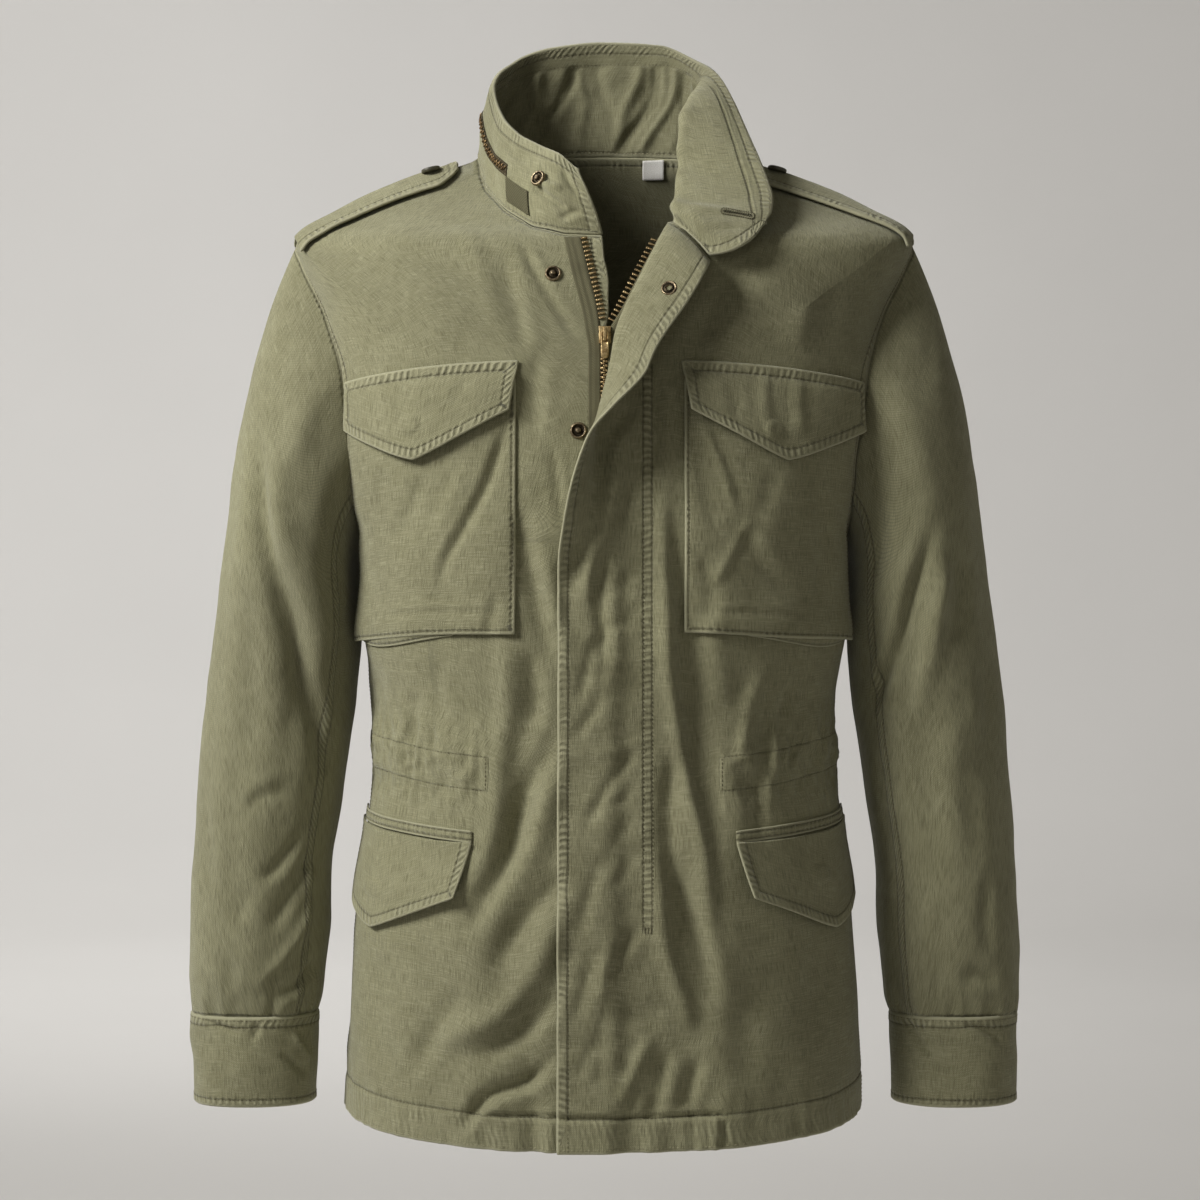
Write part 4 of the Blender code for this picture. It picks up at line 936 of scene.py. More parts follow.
def sleeve_relief(points, z, turn, side):
    """Folds, creases and gathers of a sleeve."""
    table = SLEEVE_CREASES[side]
    total = SLEEVE_GAIN * (crease_heights(table, turn, z)
                           + crease_heights(table, turn - 360, z))
    seed = 10 if side == "left" else 20
    for index, (size, height) in enumerate(RIPPLES):
        total = total + height * uneven(points, size, seed + index)
    touching = bell((turn - 203) / 17) * smooth((-284 - z) / 14) * smooth((z + 362) / 20)
    place = np.stack((turn + 0 * z, 0.12 * z + 0 * turn, 0 * z + 0 * turn), axis=-1)
    gathers = uneven(place, 6.0, seed + 7) * smooth((-626 - z) / 20)
    return total + 0.45 * sleeve_folds(z, turn) + 6.0 * touching + 1.5 * gathers


def sleeve_grid(turns, cap_shares, lower_heights, side):
    """Outer points of a sleeve, on the left: fanned cap rings, then level rings."""
    turn = turns[None, :]
    start = armhole_loop(turns, 1 if side == "left" else -1)[None]
    start[..., 0] += SEAM + 0.4
    top = SLEEVE_RINGS[0][0]
    end = ring(SLEEVE_RINGS, np.array([[float(top)]]), turn)
    below = ring(SLEEVE_RINGS, np.array([[top - 12.0]]), turn)
    reach = np.linalg.norm(end - start, axis=-1, keepdims=True)
    forward = np.sin(np.radians(turn))
    leave = np.stack((0.42 + 0.25 * forward ** 2, -0.35 * forward,
                      -0.9 + 0.35 * forward ** 2), axis=-1)
    leave *= reach / np.linalg.norm(leave, axis=-1, keepdims=True)
    arrive = (below - end) * reach / np.linalg.norm(below - end, axis=-1, keepdims=True)
    s = cap_shares[:, None, None]
    cap = (start * (1 + 2 * s) * (1 - s) ** 2 + leave * s * (1 - s) ** 2
           + end * s * s * (3 - 2 * s) - arrive * s * s * (1 - s))
    lower = ring(SLEEVE_RINGS, lower_heights[:, None], turn)
    grid = np.concatenate((cap, lower))
    fade = np.concatenate((smooth(cap_shares * 2), np.ones(len(lower_heights))))[:, None]
    out = grid_normals(grid, True)
    turn = np.broadcast_to(turn, grid.shape[:2])
    grid = grid + out * (sleeve_relief(grid, grid[..., 2], turn, side) * fade)[..., None]
    grid[-1, :, 2] = SLEEVE_RINGS[-1][0]
    return grid


def mirrored(grid, side):
    """The grid itself, or its mirror image for side -1."""
    return grid * np.array((side, 1, 1))


def tube_inward(grid, loop):
    """Directions into a tube's wall: level at its open end, in the seam's plane at its start."""
    inward = -grid_normals(grid, True)
    inward[-1, :, 2] = 0
    if loop:
        inward[0, :, 0] = 0
    else:
        inward[0, :, 2] = 0
    return unit(inward)


# ------------------------------------------------------------------------ collar
# Collar: walk along its seam from the right front's end, its middle, its free edge.
COLLAR = (
    (0, -10, -86, -38, -21, -80, -13),
    (34, -36, -81, -32, -33, -70, -1),
    (54, -55, -66, -24, -49, -52, 9),
    (86, -75, -44, -8, -66, -34, 21),
    (123, -89, -18, 10, -80, -10, 39),
    (161, -96, 12, 40, -88, 25, 70),
    (202, -85, 50, 54, -75, 58, 92),
    (240, -56, 74, 64, -45, 78, 107),
    (301, 0, 84, 67, 0, 86, 113),
    (362, 55, 74, 66, 46, 82, 110),
    (400, 80, 53, 60, 76, 59, 93),
    (420, 77, 37, 62, 89, 37, 78),
    (441, 71, 20, 59, 100, 14, 56),
    (478, 62, -6, 34, 111, -12, 24),
    (515, 60, -32, -4, 120, -36, -3),
    (547, 63, -64, -38, 127, -58, -32),
    (576, 84, -86, -56, 126, -68, -43),
    (604, 102.5, -100, -73.5, 120, -80, -54.5),
)
COLLAR_GAP = 1.25
COLLAR_PITCH = 4.0
COLLAR_FLY_RISE = 1.6
BAND = 17.0                # height of the band along the collar's edge, inside
# Wrinkles inside the collar's back: walk, height, half width and slant.
WRINKLES = ((112, -2.4, 5.0, 0.5), (127, 1.6, 4.5, 0.3), (146, -3.4, 5.0, 0.35),
            (163, 2.2, 6.0, 0.1), (178, -2.0, 5.5, -0.2), (196, 1.4, 6.0, 0.0),
            (214, -1.6, 5.0, -0.3),
            (236, 1.8, 7.0, -0.1), (262, -2.8, 6.0, -0.35), (280, 1.2, 6.5, 0.2),
            (303, -1.2, 7.0, 0.3), (326, 2.0, 6.5, -0.3), (343, -3.6, 5.5, -0.45),
            (362, 2.4, 5.0, -0.5), (378, -3.4, 5.0, -0.2), (396, 1.6, 5.5, 0.2))
# Creases of the collar: walk and share of its height (x 100) along a curve, half width, depth.
LEAF_CREASES = (
    (((452, 20), (470, 46), (474, 80)), 8, -1.4),
    (((500, 14), (512, 44), (520, 78)), 7, 1.2),
    (((538, 10), (548, 40), (560, 70)), 6, -1.6),
    (((566, 30), (560, 58), (572, 84)), 6, -1.4),
    (((580, 24), (584, 50), (588, 70)), 5, 1.0),
    (((22, 28), (34, 40), (44, 46), (54, 60)), 4.5, -2.6),
    (((26, 62), (40, 58), (56, 66)), 5, 1.8),
    (((8, 50), (20, 70), (30, 88)), 5, -1.8),
    (((30, 14), (24, 26), (12, 34)), 4.5, -1.8),
    (((60, 80), (78, 74), (96, 84)), 5, -1.2),
    (((100, 20), (116, 46), (124, 80)), 9, -1.2),
    (((300, 10), (310, 50), (300, 90)), 16, -1.6),
    (((200, 10), (210, 50), (204, 90)), 15, 1.4),
)


def collar_walk(seam):
    """Distance along the seam at each of its points, to the scale of the collar's table."""
    walk = run_along(seam)
    return walk * COLLAR[-1][0] / walk[-1]


def collar_surface(seam, walk, rows):
    """Points of the collar above points of its seam; rows are shares of its height."""
    middle = np.stack(columns(COLLAR, walk, 1, 2, 3), axis=-1)
    edge = np.stack(columns(COLLAR, walk, 4, 5, 6), axis=-1)
    rise = middle - seam
    seam = seam + rise * (COLLAR_GAP / np.linalg.norm(rise, axis=-1, keepdims=True))
    s = np.asarray(rows)[:, None, None]
    return (seam * (1 - s) * (1 - 2 * s) + middle * 4 * s * (1 - s) + edge * s * (2 * s - 1))


def collar_relief(walk, share):
    """Height of the creases of the collar over its plain surface."""
    across, up = np.broadcast_arrays(walk, share * 100.0)
    total = LEAF_GAIN * crease_heights(LEAF_CREASES, across, up)
    return total + 0.7 * uneven(np.stack((across, up, 0 * up), axis=-1), 17.0, 31)


def fine_seam(points, pitch):
    """The same seam with points a pitch apart."""
    run = run_along(points)
    places = np.linspace(0, run[-1], math.ceil(run[-1] / pitch) + 1)
    return np.stack([np.interp(places, run, points[:, i]) for i in range(3)], axis=-1)


def collar_points(seam, walk, shares):
    """Outer points and outward directions of the creased collar."""
    grid = collar_surface(seam, walk, shares)
    out = -grid_normals(grid, False)
    lift = collar_relief(walk[None, :], np.asarray(shares)[:, None])
    return grid + out * lift[..., None], out


# ------------------------------------------------------------- seams and edges
PUCKER_PITCH = 5.4


def pucker_phase(run, depth):
    """Turn of the puckers along a sewn edge; the cloth's material repeats this formula."""
    return (run * math.tau / PUCKER_PITCH + 1.7 * np.sin(0.021 * run)
            + 1.2 * np.sin(0.057 * run + 1) + 0.35 * depth)


def seam_fields(grid, edges):
    """Fields of a grid's sewn edges; edges maps first, last, low and high to seam distances.

    rim is 0 at the edge and 1 at its stitches, seam their distance, way 1 for upright edges.
    """
    distances = dict(zip(("first", "last", "low", "high"), edge_distances(grid)))
    rim = np.full(grid.shape[:2], 99.0)
    seam = np.full(grid.shape[:2], 7.0)
    way = np.zeros(grid.shape[:2])
    for edge, width in edges.items():
        share = distances[edge] / width
        nearer = share < rim
        rim = np.where(nearer, share, rim)
        seam = np.where(nearer, width, seam)
        way = np.where(nearer, float(edge in ("first", "last")), way)
    return {"rim": rim, "seam": seam, "way": way}


def seam_relief(grid, fields, raised=0.5, pucker=0.0, groove=0.35):
    """Height of the doubled edge, its stitch groove and its puckers."""
    right, _, up, _ = edge_distances(grid)
    rim, seam = fields["rim"], fields["seam"]
    depth = rim * seam
    run = np.where(fields["way"] > 0.5, up, right)
    total = raised * (1 - smooth((depth - seam - 0.2) / 1.6))
    total = total - groove * bell((depth - seam) / 0.9)
    window = smooth(depth / 1.2) * (1 - smooth((depth - seam) / 3.0))
    return total + pucker * window * np.sin(pucker_phase(run, depth))


# ----------------------------------------------------- stitches, in one mesh
STITCH_PITCH = 3.1
STITCH_LENGTH = 2.35
STITCH_HALF = 0.34
STITCH_HEIGHT = 0.34
threads = {"light": [], "dark": [], "deep": []}


def sew(points, normals, shade="dark", pitch=STITCH_PITCH):
    """Put stitches along a line of points."""
    points, normals = np.asarray(points, float), np.asarray(normals, float)
    run = run_along(points)
    count = max(1, int(run[-1] / pitch))
    starts = (np.arange(count) + 0.5) * run[-1] / count
    half = STITCH_LENGTH / 2 * pitch / STITCH_PITCH

    def read(where, values):
        return np.stack([np.interp(where, run, values[:, i]) for i in range(3)], axis=-1)

    normal = read(starts, normals)
    normal = unit(normal)
    a, b = read(starts - half, points), read(starts + half, points)
    along = (b - a) / (np.linalg.norm(b - a, axis=-1, keepdims=True) + 1e-9)
    side = np.cross(along, normal) * STITCH_HALF
    up = normal * STITCH_HEIGHT
    sunk = normal * -0.35
    mids = [a + (b - a) * 0.22, a + (b - a) * 0.78]
    corners = [a + sunk]
    for mid in mids:
        corners += [mid + side - up * 0.6, mid + up, mid - side - up * 0.6]
    corners.append(b + sunk)
    threads[shade].append(np.stack(corners, axis=1))


STITCH_FACES = ((0, 2, 1), (0, 3, 2), (0, 1, 3), (1, 2, 5, 4), (2, 3, 6, 5), (3, 1, 4, 6),
                (7, 4, 5), (7, 5, 6), (7, 6, 4))


def pick(grid, rows, cols):
    """Values of a grid at fractions of its rows and columns."""
    rows = np.clip(rows, 0, grid.shape[0] - 1.0001)
    cols = np.clip(cols, 0, grid.shape[1] - 1.0001)
    r, c = rows.astype(int), cols.astype(int)
    u, v = (cols - c)[:, None], (rows - r)[:, None]
    return ((grid[r, c] * (1 - u) + grid[r, c + 1] * u) * (1 - v)
            + (grid[r + 1, c] * (1 - u) + grid[r + 1, c + 1] * u) * v)


def sew_edge(grid, normals, edge, distance, trim=(0.0, 0.0), shade="dark"):
    """Stitch along one edge of a grid, a distance inside it; trim shortens the line's ends."""
    first, last, low, high = edge_distances(grid)
    upright = edge in ("first", "last")
    field = {"first": first, "last": last, "low": low, "high": high}[edge]
    lines = field if upright else field.T
    count = lines.shape[1]
    steps = np.arange(count)
    flip = edge in ("last", "high")
    inside = np.array([np.interp(distance, line[::-1] if flip else line,
                                 steps[::-1] if flip else steps) for line in lines])
    other = np.arange(len(lines), dtype=float)
    rows, cols = (other, inside) if upright else (inside, other)
    before, after = (low, high) if upright else (first, last)
    keep = ((pick(before[..., None], rows, cols)[:, 0] >= trim[0])
            & (pick(after[..., None], rows, cols)[:, 0] >= trim[1]))
    rows, cols = rows[keep], cols[keep]
    sew(pick(grid, rows, cols), pick(normals, rows, cols), shade)


# ------------------------------------------------------- pieces laid on panels
SIDES = (("right", -1), ("left", 1))
# Chest pockets: distance round the body of their inner edge, for the right and left.
CHEST_INNER = {"right": 66.0, "left": 60.0}
# The same to their outer edge, at the mouth and the bottom.
CHEST_OUTER = {"right": (206.0, 228.0), "left": (205.0, 219.0)}
CHEST_TOP = (-174.0, -183.0)       # height of the mouth at its inner and outer end
CHEST_BOTTOM = (-361.0, -366.0)
CHEST_PUFF = 3.0                   # how far the pocket fills out
CHEST_FLAP_TOP = (-160.5, -172.5)
CHEST_FLAP_ENDS = (-197.0, -208.0)
CHEST_FLAP_POINT = -234.0
CHEST_FLAP_OUTER = 209.0
HIP_INNER = 98.0                   # hip pockets, the same on both sides
HIP_OUTER = 247.0
HIP_WELT_TOP = (-508.0, -495.0)
HIP_WELT_HEIGHT = 8.0
HIP_FLAP_ENDS = (-556.0, -563.0)
HIP_FLAP_POINT = -584.0
HIP_FLAP_SLANT = 11.0
HIP_POINT_SHARE = 0.6
CHEST_POCKET_GRID = (92, 76)       # rows and columns
CHEST_FLAP_GRID = (46, 104)
HIP_WELT_GRID = (9, 90)
HIP_FLAP_GRID = (50, 96)
POCKET_SEAM = 2.2                  # stitches from the edge
FLAP_SEAM = 7.0
WELT_SEAM = 1.6
LOOP_SEAM = 6.5
# Creases of the chest pockets and flaps: distance from the middle and height along a curve,
# half width, depth.
POCKET_CREASES = {
    "right": (
        (((66, -347), (106, -346), (143, -347), (171, -349)), 2.5, -1),
        (((65, -193), (77, -225), (87, -253), (103, -285), (116, -309), (124, -346)), 4, -3.2),
        (((130, -240), (140, -267), (152, -299)), 6.6, -1.6),
        (((160, -235), (165, -263), (160, -299)), 6.6, -1.2),
        (((78, -331), (82, -348), (85, -366)), 4.4, -1.8),
        (((96, -235), (112, -267), (124, -297)), 6.6, 1.6),
    ),
    "left": (
        (((63, -347), (100, -346), (137, -347), (168, -349)), 2.5, -1),
        (((71, -201), (79, -223), (88, -245), (99, -284)), 3.7, 2),
        (((65, -212), (75, -256), (85, -297)), 6.6, -1.4),
        (((109, -271), (99, -291), (88, -311), (75, -333)), 4.4, 1.5),
        (((95, -278), (109, -300), (125, -321), (149, -341)), 6.6, -2.2),
        (((125, -234), (118, -263), (106, -283)), 6.6, -1.2),
        (((70, -300), (78, -330), (74, -361)), 5.9, -1.8),
        (((155, -241), (160, -293), (157, -346)), 6.6, -1.4),
    ),
}
FLAP_CREASES = {
    "right": (
        (((140, -166), (147, -186), (149, -205)), 4.4, -1.2),
        (((97, -166), (105, -182), (111, -197)), 5.2, -0.9),
    ),
    "left": (
        (((121, -162), (117, -188), (121, -224)), 5.2, 1.3),
        (((133, -165), (130, -188), (135, -212)), 4.4, -1.2),
        (((146, -165), (143, -190), (144, -219)), 4.4, 1),
        (((96, -166), (95, -186), (99, -206)), 4.4, -1.2),
    ),
}
UNDER = 0.6                        # gap under a laid piece
FLAP_STAND = {"chest": 4.2, "hip": 5.0}
FLAP_BUTTONS = {                   # a button under each flap shows through: distance and height
    "chest": {"right": (141, -207), "left": (124, -211)},
    "hip": {"right": (171, -554), "left": (160, -543)},
}


def pointed(u, share, ends, point):
    """Lower edge of a flap with one point, slightly rounded, at a share of its width."""
    rise = np.where(u < share, u / share, (1 - u) / (1 - share))
    tip = point - between(ends, share)
    return between(ends, u) + tip * (rise - 0.06 * rise ** 8)


def box_places(corners_s, corners_z, rows, cols):
    """Distances round the body and heights of a four-sided patch, inner top corner first."""
    u, v = lattice_of(rows, cols)

    def blend(values):
        return ((values[0] * (1 - u) + values[1] * u) * (1 - v)
                + (values[2] * (1 - u) + values[3] * u) * v)

    return blend(corners_s), blend(corners_z), u, v


def distance_out(s, z):
    """Distance from the middle of places at distances round the body."""
    return np.abs(body(z, turn_at_girth(s, z))[..., 0])


def button_bump(kind, name, across, z):
    """Rise over the button hidden under a flap."""
    spot = FLAP_BUTTONS[kind][name]
    away = np.hypot(across - spot[0], z - spot[1])
    return 1.3 * (1 - smooth((away - 4.2) / 4.5))


def pocket_height(name, s, z):
    """Height of a chest pocket's inner face over its panel, falling away outside the pocket."""
    outside = CHEST_OUTER[name]
    share = (s - CHEST_INNER[name]) / (outside[0] - CHEST_INNER[name])
    for _ in range(3):
        top, low = between(CHEST_TOP, share), between(CHEST_BOTTOM, share)
        v = (top - z) / (top - low)
        outer = between(outside, v)
        share = (s - CHEST_INNER[name]) / (outer - CHEST_INNER[name])
    u, v_in = np.clip(share, 0, 1), np.clip(v, 0, 1)
    puff = CHEST_PUFF * (16 * u * (1 - u) * v_in * (1 - v_in)) ** 0.6
    across = distance_out(s, z)
    crease = crease_heights(POCKET_CREASES[name], across, z) * smooth((0.5 - np.abs(u - 0.5)) * 12)
    loose = 1.8 * smooth((v_in - 0.84) / 0.14)
    loose = loose + (3.6 if name == "right" else 2.0) * smooth((v_in - 0.7) / 0.3) * smooth(
        (u - 0.78) / 0.2)
    inside = (smooth((v * 187 + 9) / 9) * smooth((share * 145 + 6) / 6)
              * smooth(((1 - share) * 145 + 6) / 6))
    return (UNDER + puff + np.maximum(crease, -2.6) + loose + 0.5) * inside, inside


def laid(name, node, side, s, z, lift, edges, look, raised=0.4, pucker=0.3, thickness=CLOTH):
    """A piece on the body at distances round it and heights, its inner face lifted by lift."""
    turn = side * turn_at_girth(s, z)
    out = body_normal(z, turn)
    inner = drape(z, turn, lift)
    if side < 0:
        inner, out = inner[:, ::-1], out[:, ::-1]
        edges = {{"first": "last", "last": "first"}.get(key, key): item
                 for key, item in edges.items()}
    inner, out = inner[::-1], out[::-1]
    fields = seam_fields(inner, edges)
    relief = seam_relief(inner, fields, raised, pucker)
    outer = inner + out * (thickness + relief)[..., None]
    normals = -grid_normals(outer, False)
    normals *= np.sign((normals * out).sum(axis=-1, keepdims=True))
    shell(name, outer, inner, look, (node,) if node else (), fields=fields)
    return outer, normals


def build_chest(name, side, look):
    """A chest pocket and the lip of its bellows."""
    inner = CHEST_INNER[name]
    outside = CHEST_OUTER[name]
    s, z, u, v = box_places((inner, outside[0], inner, outside[1]),
                            CHEST_TOP + CHEST_BOTTOM, *CHEST_POCKET_GRID)
    lift, _ = pocket_height(name, s, z)
    sag = (0.7 * np.sin(u * 7 + side) - 1.5 * u ** 3) * v ** 12
    edges = dict.fromkeys(("first", "last", "low"), POCKET_SEAM)
    outer, normals = laid("pocket_chest_" + name, "chest_pocket_" + name, side, s, z + sag,
                          lift - 0.3, edges, look, 0.25, 0.0)
    for edge in edges:
        sew_edge(outer, normals, edge, POCKET_SEAM, (2, 2))
    build_gusset(name, side, look)


def build_gusset(name, side, look):
    """The lip of the bellows, below the pocket's outer corner."""
    inner, outer = CHEST_INNER[name], CHEST_OUTER[name][1]
    u = np.linspace(0.3, 0.96, 60)[None, :]
    v_lip = np.linspace(0, 1, 12)[:, None]
    bow = 6.5 * np.sin(math.pi * np.clip((u - 0.3) / 0.66, 0, 1) ** 1.5) ** 0.8
    z_lip = between(CHEST_BOTTOM, u) + 4 - (4.6 + bow) * v_lip
    s_lip = inner + (outer - inner) * u + 0 * v_lip
    laid("gusset_chest_" + name, None, side, s_lip, z_lip, UNDER + 2.6 * (1 - v_lip) + 0 * u,
         {"low": 1.2}, look, 0.0, 0.0)


def build_chest_flap(name, side, look):
    """The pointed flap over a chest pocket."""
    inner = CHEST_INNER[name]
    u, v = lattice_of(*CHEST_FLAP_GRID)
    top = between(CHEST_FLAP_TOP, u ** 1.6)
    bottom = pointed(u, 0.5, CHEST_FLAP_ENDS, CHEST_FLAP_POINT)
    z = top + (bottom - top) * v
    s = (inner - 2 + (CHEST_FLAP_OUTER - inner + 2) * u) * (1 - v)
    s = s + (inner + 4 + (CHEST_FLAP_OUTER - inner - 4) * u) * v
    height, inside = pocket_height(name, s, z)
    stand = FLAP_STAND["chest"] * v ** 2 * (0.55 + 0.45 * np.sin(u * 5 + 0.6 + side))
    lift = UNDER + height + inside * (CLOTH + 0.5) + stand
    lift = lift + 0.8 * uneven(np.stack((s, z, 0 * z + side * 40), axis=-1), 26.0, 41)
    across = distance_out(s, z)
    lift = lift + crease_heights(FLAP_CREASES[name], across, z)
    lift = lift + button_bump("chest", name, across, z)
    lift = np.maximum(lift, UNDER + height + inside * (CLOTH + 0.3))
    edges = dict.fromkeys(("first", "last", "low", "high"), FLAP_SEAM)
    outer, normals = laid("flap_chest_" + name, "chest_flap_" + name, side, s, z, lift, edges,
                          look, 0.5, 0.16)
    for edge in edges:
        sew_edge(outer, normals, edge, FLAP_SEAM, (6.5, 6.5))


def build_hip(name, side, look):
    """A hip pocket's welt and flap."""
    low = (HIP_WELT_TOP[0] - HIP_WELT_HEIGHT, HIP_WELT_TOP[1] - HIP_WELT_HEIGHT)
    s, z, _, _ = box_places((HIP_INNER, HIP_OUTER) * 2, HIP_WELT_TOP + low, *HIP_WELT_GRID)
    outer, normals = laid("welt_hip_" + name, "hip_welt_" + name, side, s, z, UNDER + 0 * z,
                          {"low": WELT_SEAM, "high": WELT_SEAM}, look, 0.0, 0.0)
    for edge in ("high", "low"):
        sew_edge(outer, normals, edge, WELT_SEAM, (1, 1))
    u, v = lattice_of(*HIP_FLAP_GRID)
    top = low[0] - 0.6 + (low[1] - low[0]) * u ** 1.6
    bottom = pointed(u, HIP_POINT_SHARE, HIP_FLAP_ENDS, HIP_FLAP_POINT)
    z = top + (bottom - top) * v
    s = (HIP_INNER + (HIP_OUTER - HIP_INNER) * u) * (1 - v)
    s = s + (HIP_INNER + HIP_FLAP_SLANT + (HIP_OUTER - 3 - HIP_INNER - HIP_FLAP_SLANT) * u) * v
    stand = FLAP_STAND["hip"] * (v ** 2 * (1 - 0.55 * u) + 0.5 * (1 - u) ** 6 * v)
    lift = UNDER + 0.9 * (1 - v) ** 8 + stand
    lift = lift + 0.9 * uneven(np.stack((s, z, 0 * z + side * 40), axis=-1), 30.0, 43)
    lift = np.maximum(lift, 0.5) + button_bump("hip", name, distance_out(s, z), z)
    edges = dict.fromkeys(("first", "last", "low"), FLAP_SEAM)
    outer, normals = laid("flap_hip_" + name, "hip_flap_" + name, side, s, z, lift, edges,
                          look, 0.5, 0.16)
    for edge in edges:
        sew_edge(outer, normals, edge, FLAP_SEAM, (6.5, 6.5))


# ------------------------------------------------------------- shoulder loops
LOOP_TIP_X = 114.0
LOOP_END_X = 237.5
LOOP_HALF = (19.0, 24.0)           # half width near the tip and at the sleeve
LOOP_MIDDLE_Y = (-2.0, -12.0)
LOOP_POINT = 15.0                  # length of the pointed end
LOOP_DROP = 0.011                  # fall of its edges, for each square of the distance out


def shoulder_height(x, y):
    """Height of the body form above a point near the shoulder, by halving."""
    low = np.full(np.broadcast(x, y).shape, -150.0)
    high = np.full(low.shape, 20.0)
    for _ in range(40):
        z = (low + high) / 2
        depth = depth_at(z, y < 0)
        half = column(SECTIONS, 1, z)
        inside = np.abs(x / half) ** SQUARE + np.abs(y / depth) ** SQUARE < 1
        low, high = np.where(inside, z, low), np.where(inside, high, z)
    return (low + high) / 2


def tree_of(*grids):
    """Search tree of the surfaces of some grids, in millimetres."""
    points, faces, start = [], [], 0
    for grid in grids:
        rows, cols = grid.shape[:2]
        r, c = (part.ravel() for part in np.mgrid[0:rows - 1, 0:cols - 1])
        a = start + r * cols + c
        faces += np.stack((a, a + 1, a + 1 + cols, a + cols), axis=1).tolist()
        points += grid.reshape(-1, 3).tolist()
        start += rows * cols
    return BVHTree.FromPolygons(points, faces)


def blurred(field, times):
    """A grid of values with its steps softened."""
    for _ in range(times):
        padded = np.pad(field, 1, mode="edge")
        field = (padded[:-2, 1:-1] + padded[2:, 1:-1] + padded[1:-1, :-2]
                 + padded[1:-1, 2:] + 2 * field) / 6
    return field


def lay(grid, out, tree, gap, reach=22.0, blur=6):
    """Move a grid out, evenly, until its points clear the surface under it."""
    rows, cols = grid.shape[:2]
    need = np.full((rows, cols), -reach)
    for row in range(rows):
        for col in range(cols):
            way = Vector(out[row, col])
            hit = tree.ray_cast(Vector(grid[row, col]) + way * reach, -way, 2 * reach)
            if hit[0] is not None:
                need[row, col] = reach - hit[3]
    need = np.where(need > -reach, need, need.max() if (need == -reach).all() else 0.0)
    soft = blurred(need, blur)
    soft += max(0.0, (need - soft).max())
    return grid + out * (soft + gap)[..., None]


def build_shoulder_loop(name, side, panels, look, button_look):
    x = np.concatenate((LOOP_TIP_X + LOOP_POINT * np.linspace(0, 1, 12) ** 1.3,
                        np.linspace(LOOP_TIP_X + LOOP_POINT, LOOP_END_X, 66)[1:]))
    along = (x - LOOP_TIP_X) / (LOOP_END_X - LOOP_TIP_X)
    half = between(LOOP_HALF, along)
    point = np.clip((x - LOOP_TIP_X) / LOOP_POINT, 0, 1)
    half = 4.0 + (half - 4.0) * point ** 0.8
    across = np.linspace(-1, 1, 34)[None, :]
    y = between(LOOP_MIDDLE_Y, along)[:, None]
    y = y + half[:, None] * across
    x = np.broadcast_to(x[:, None], y.shape)
    z = shoulder_height(x, np.zeros(x.shape)) - LOOP_DROP * (half[:, None] * across) ** 2
    z = z + 1.1 * np.sin(along * 7 + side)[:, None] * smooth(along * 3)[:, None]
    grid = np.stack((x, y, z), axis=-1)
    out = grid_normals(grid, False)
    out *= np.sign(out[..., 2:])
    way = mirrored(out, side)
    inner = lay(mirrored(grid, side), way, panels, UNDER + 1.3)
    if side < 0:
        inner, way = inner[::-1], way[::-1]
    edges = dict.fromkeys(("first", "last", "low" if side > 0 else "high"), LOOP_SEAM)
    fields = seam_fields(inner, edges)
    outer = inner + way * (DOUBLE + seam_relief(inner, fields, 0.5, 0.16))[..., None]
    shell("shoulder_loop_" + name, outer, inner, look, ("epaulette_" + name,), fields=fields)
    for edge in edges:
        sew_edge(outer, way, edge, LOOP_SEAM, (6, 6))
    spot = 14 if side > 0 else len(inner) - 15
    foot = Vector(outer[spot, 16:18].mean(axis=0)) + Vector(way[spot, 16]) * 0.2
    lathe("button_loop_" + name, BUTTON, foot, way[spot, 16], button_look,
          ("epaulette_button_" + name,))


# ------------------------------------------------------------ turned hardware
# Profiles: radius and height, from the middle of the top to the foot.
BUTTON = ((0, 1.7), (4.6, 1.7), (5.3, 2.1), (5.9, 2.9), (6.5, 3.1), (7.2, 2.7), (7.5, 2.0),
          (7.5, 0.9), (7.2, 0.3), (6.8, 0))
STUD = ((0, 3.3), (1.2, 3.3), (1.7, 3.1), (1.9, 2.6), (1.7, 1.9), (2.1, 1.0), (2.9, 0.8),
        (4.0, 0.9), (4.4, 1.6), (5.0, 2.1), (5.6, 1.9), (6.1, 1.2), (6.3, 0.4), (6.2, 0))
SOCKET = ((0, 0.7), (1.5, 0.7), (1.8, 1.0), (2.0, 1.9), (2.4, 2.4), (3.1, 2.3), (3.5, 1.6),
          (4.2, 1.5), (4.8, 2.1), (5.4, 2.2), (6.0, 1.5), (6.3, 0.6), (6.2, 0))


def lathe(name, profile, foot, axis, look, replaced, sides=40):
    """Turned piece standing on its foot along an axis."""
    axis = Vector(axis).normalized()
    across = axis.orthogonal().normalized()
    other = axis.cross(across)
    foot = Vector(foot)
    points = [tuple(foot + axis * profile[0][1])]
    well = [0.5]
    for radius, height in profile[1:]:
        for i in range(sides):
            angle = math.tau * i / sides
            way = across * math.cos(angle) + other * math.sin(angle)
            points.append(tuple(foot + axis * height + way * radius))
        well += [float(2.0 < radius < 4.6)] * sides
    points.append(tuple(foot + axis * profile[-1][1]))
    well.append(0.0)
    faces = []
    base = 1 + (len(profile) - 2) * sides
    for i in range(sides):
        j = (i + 1) % sides
        faces.append((0, 1 + i, 1 + j))
        for level in range(len(profile) - 2):
            a, b = 1 + level * sides + i, 1 + level * sides + j
            faces.append((a, a + sides, b + sides, b))
        faces.append((len(points) - 1, base + j, base + i))
    return ride_new(name, points, faces, look, replaced, fields={"well": well})


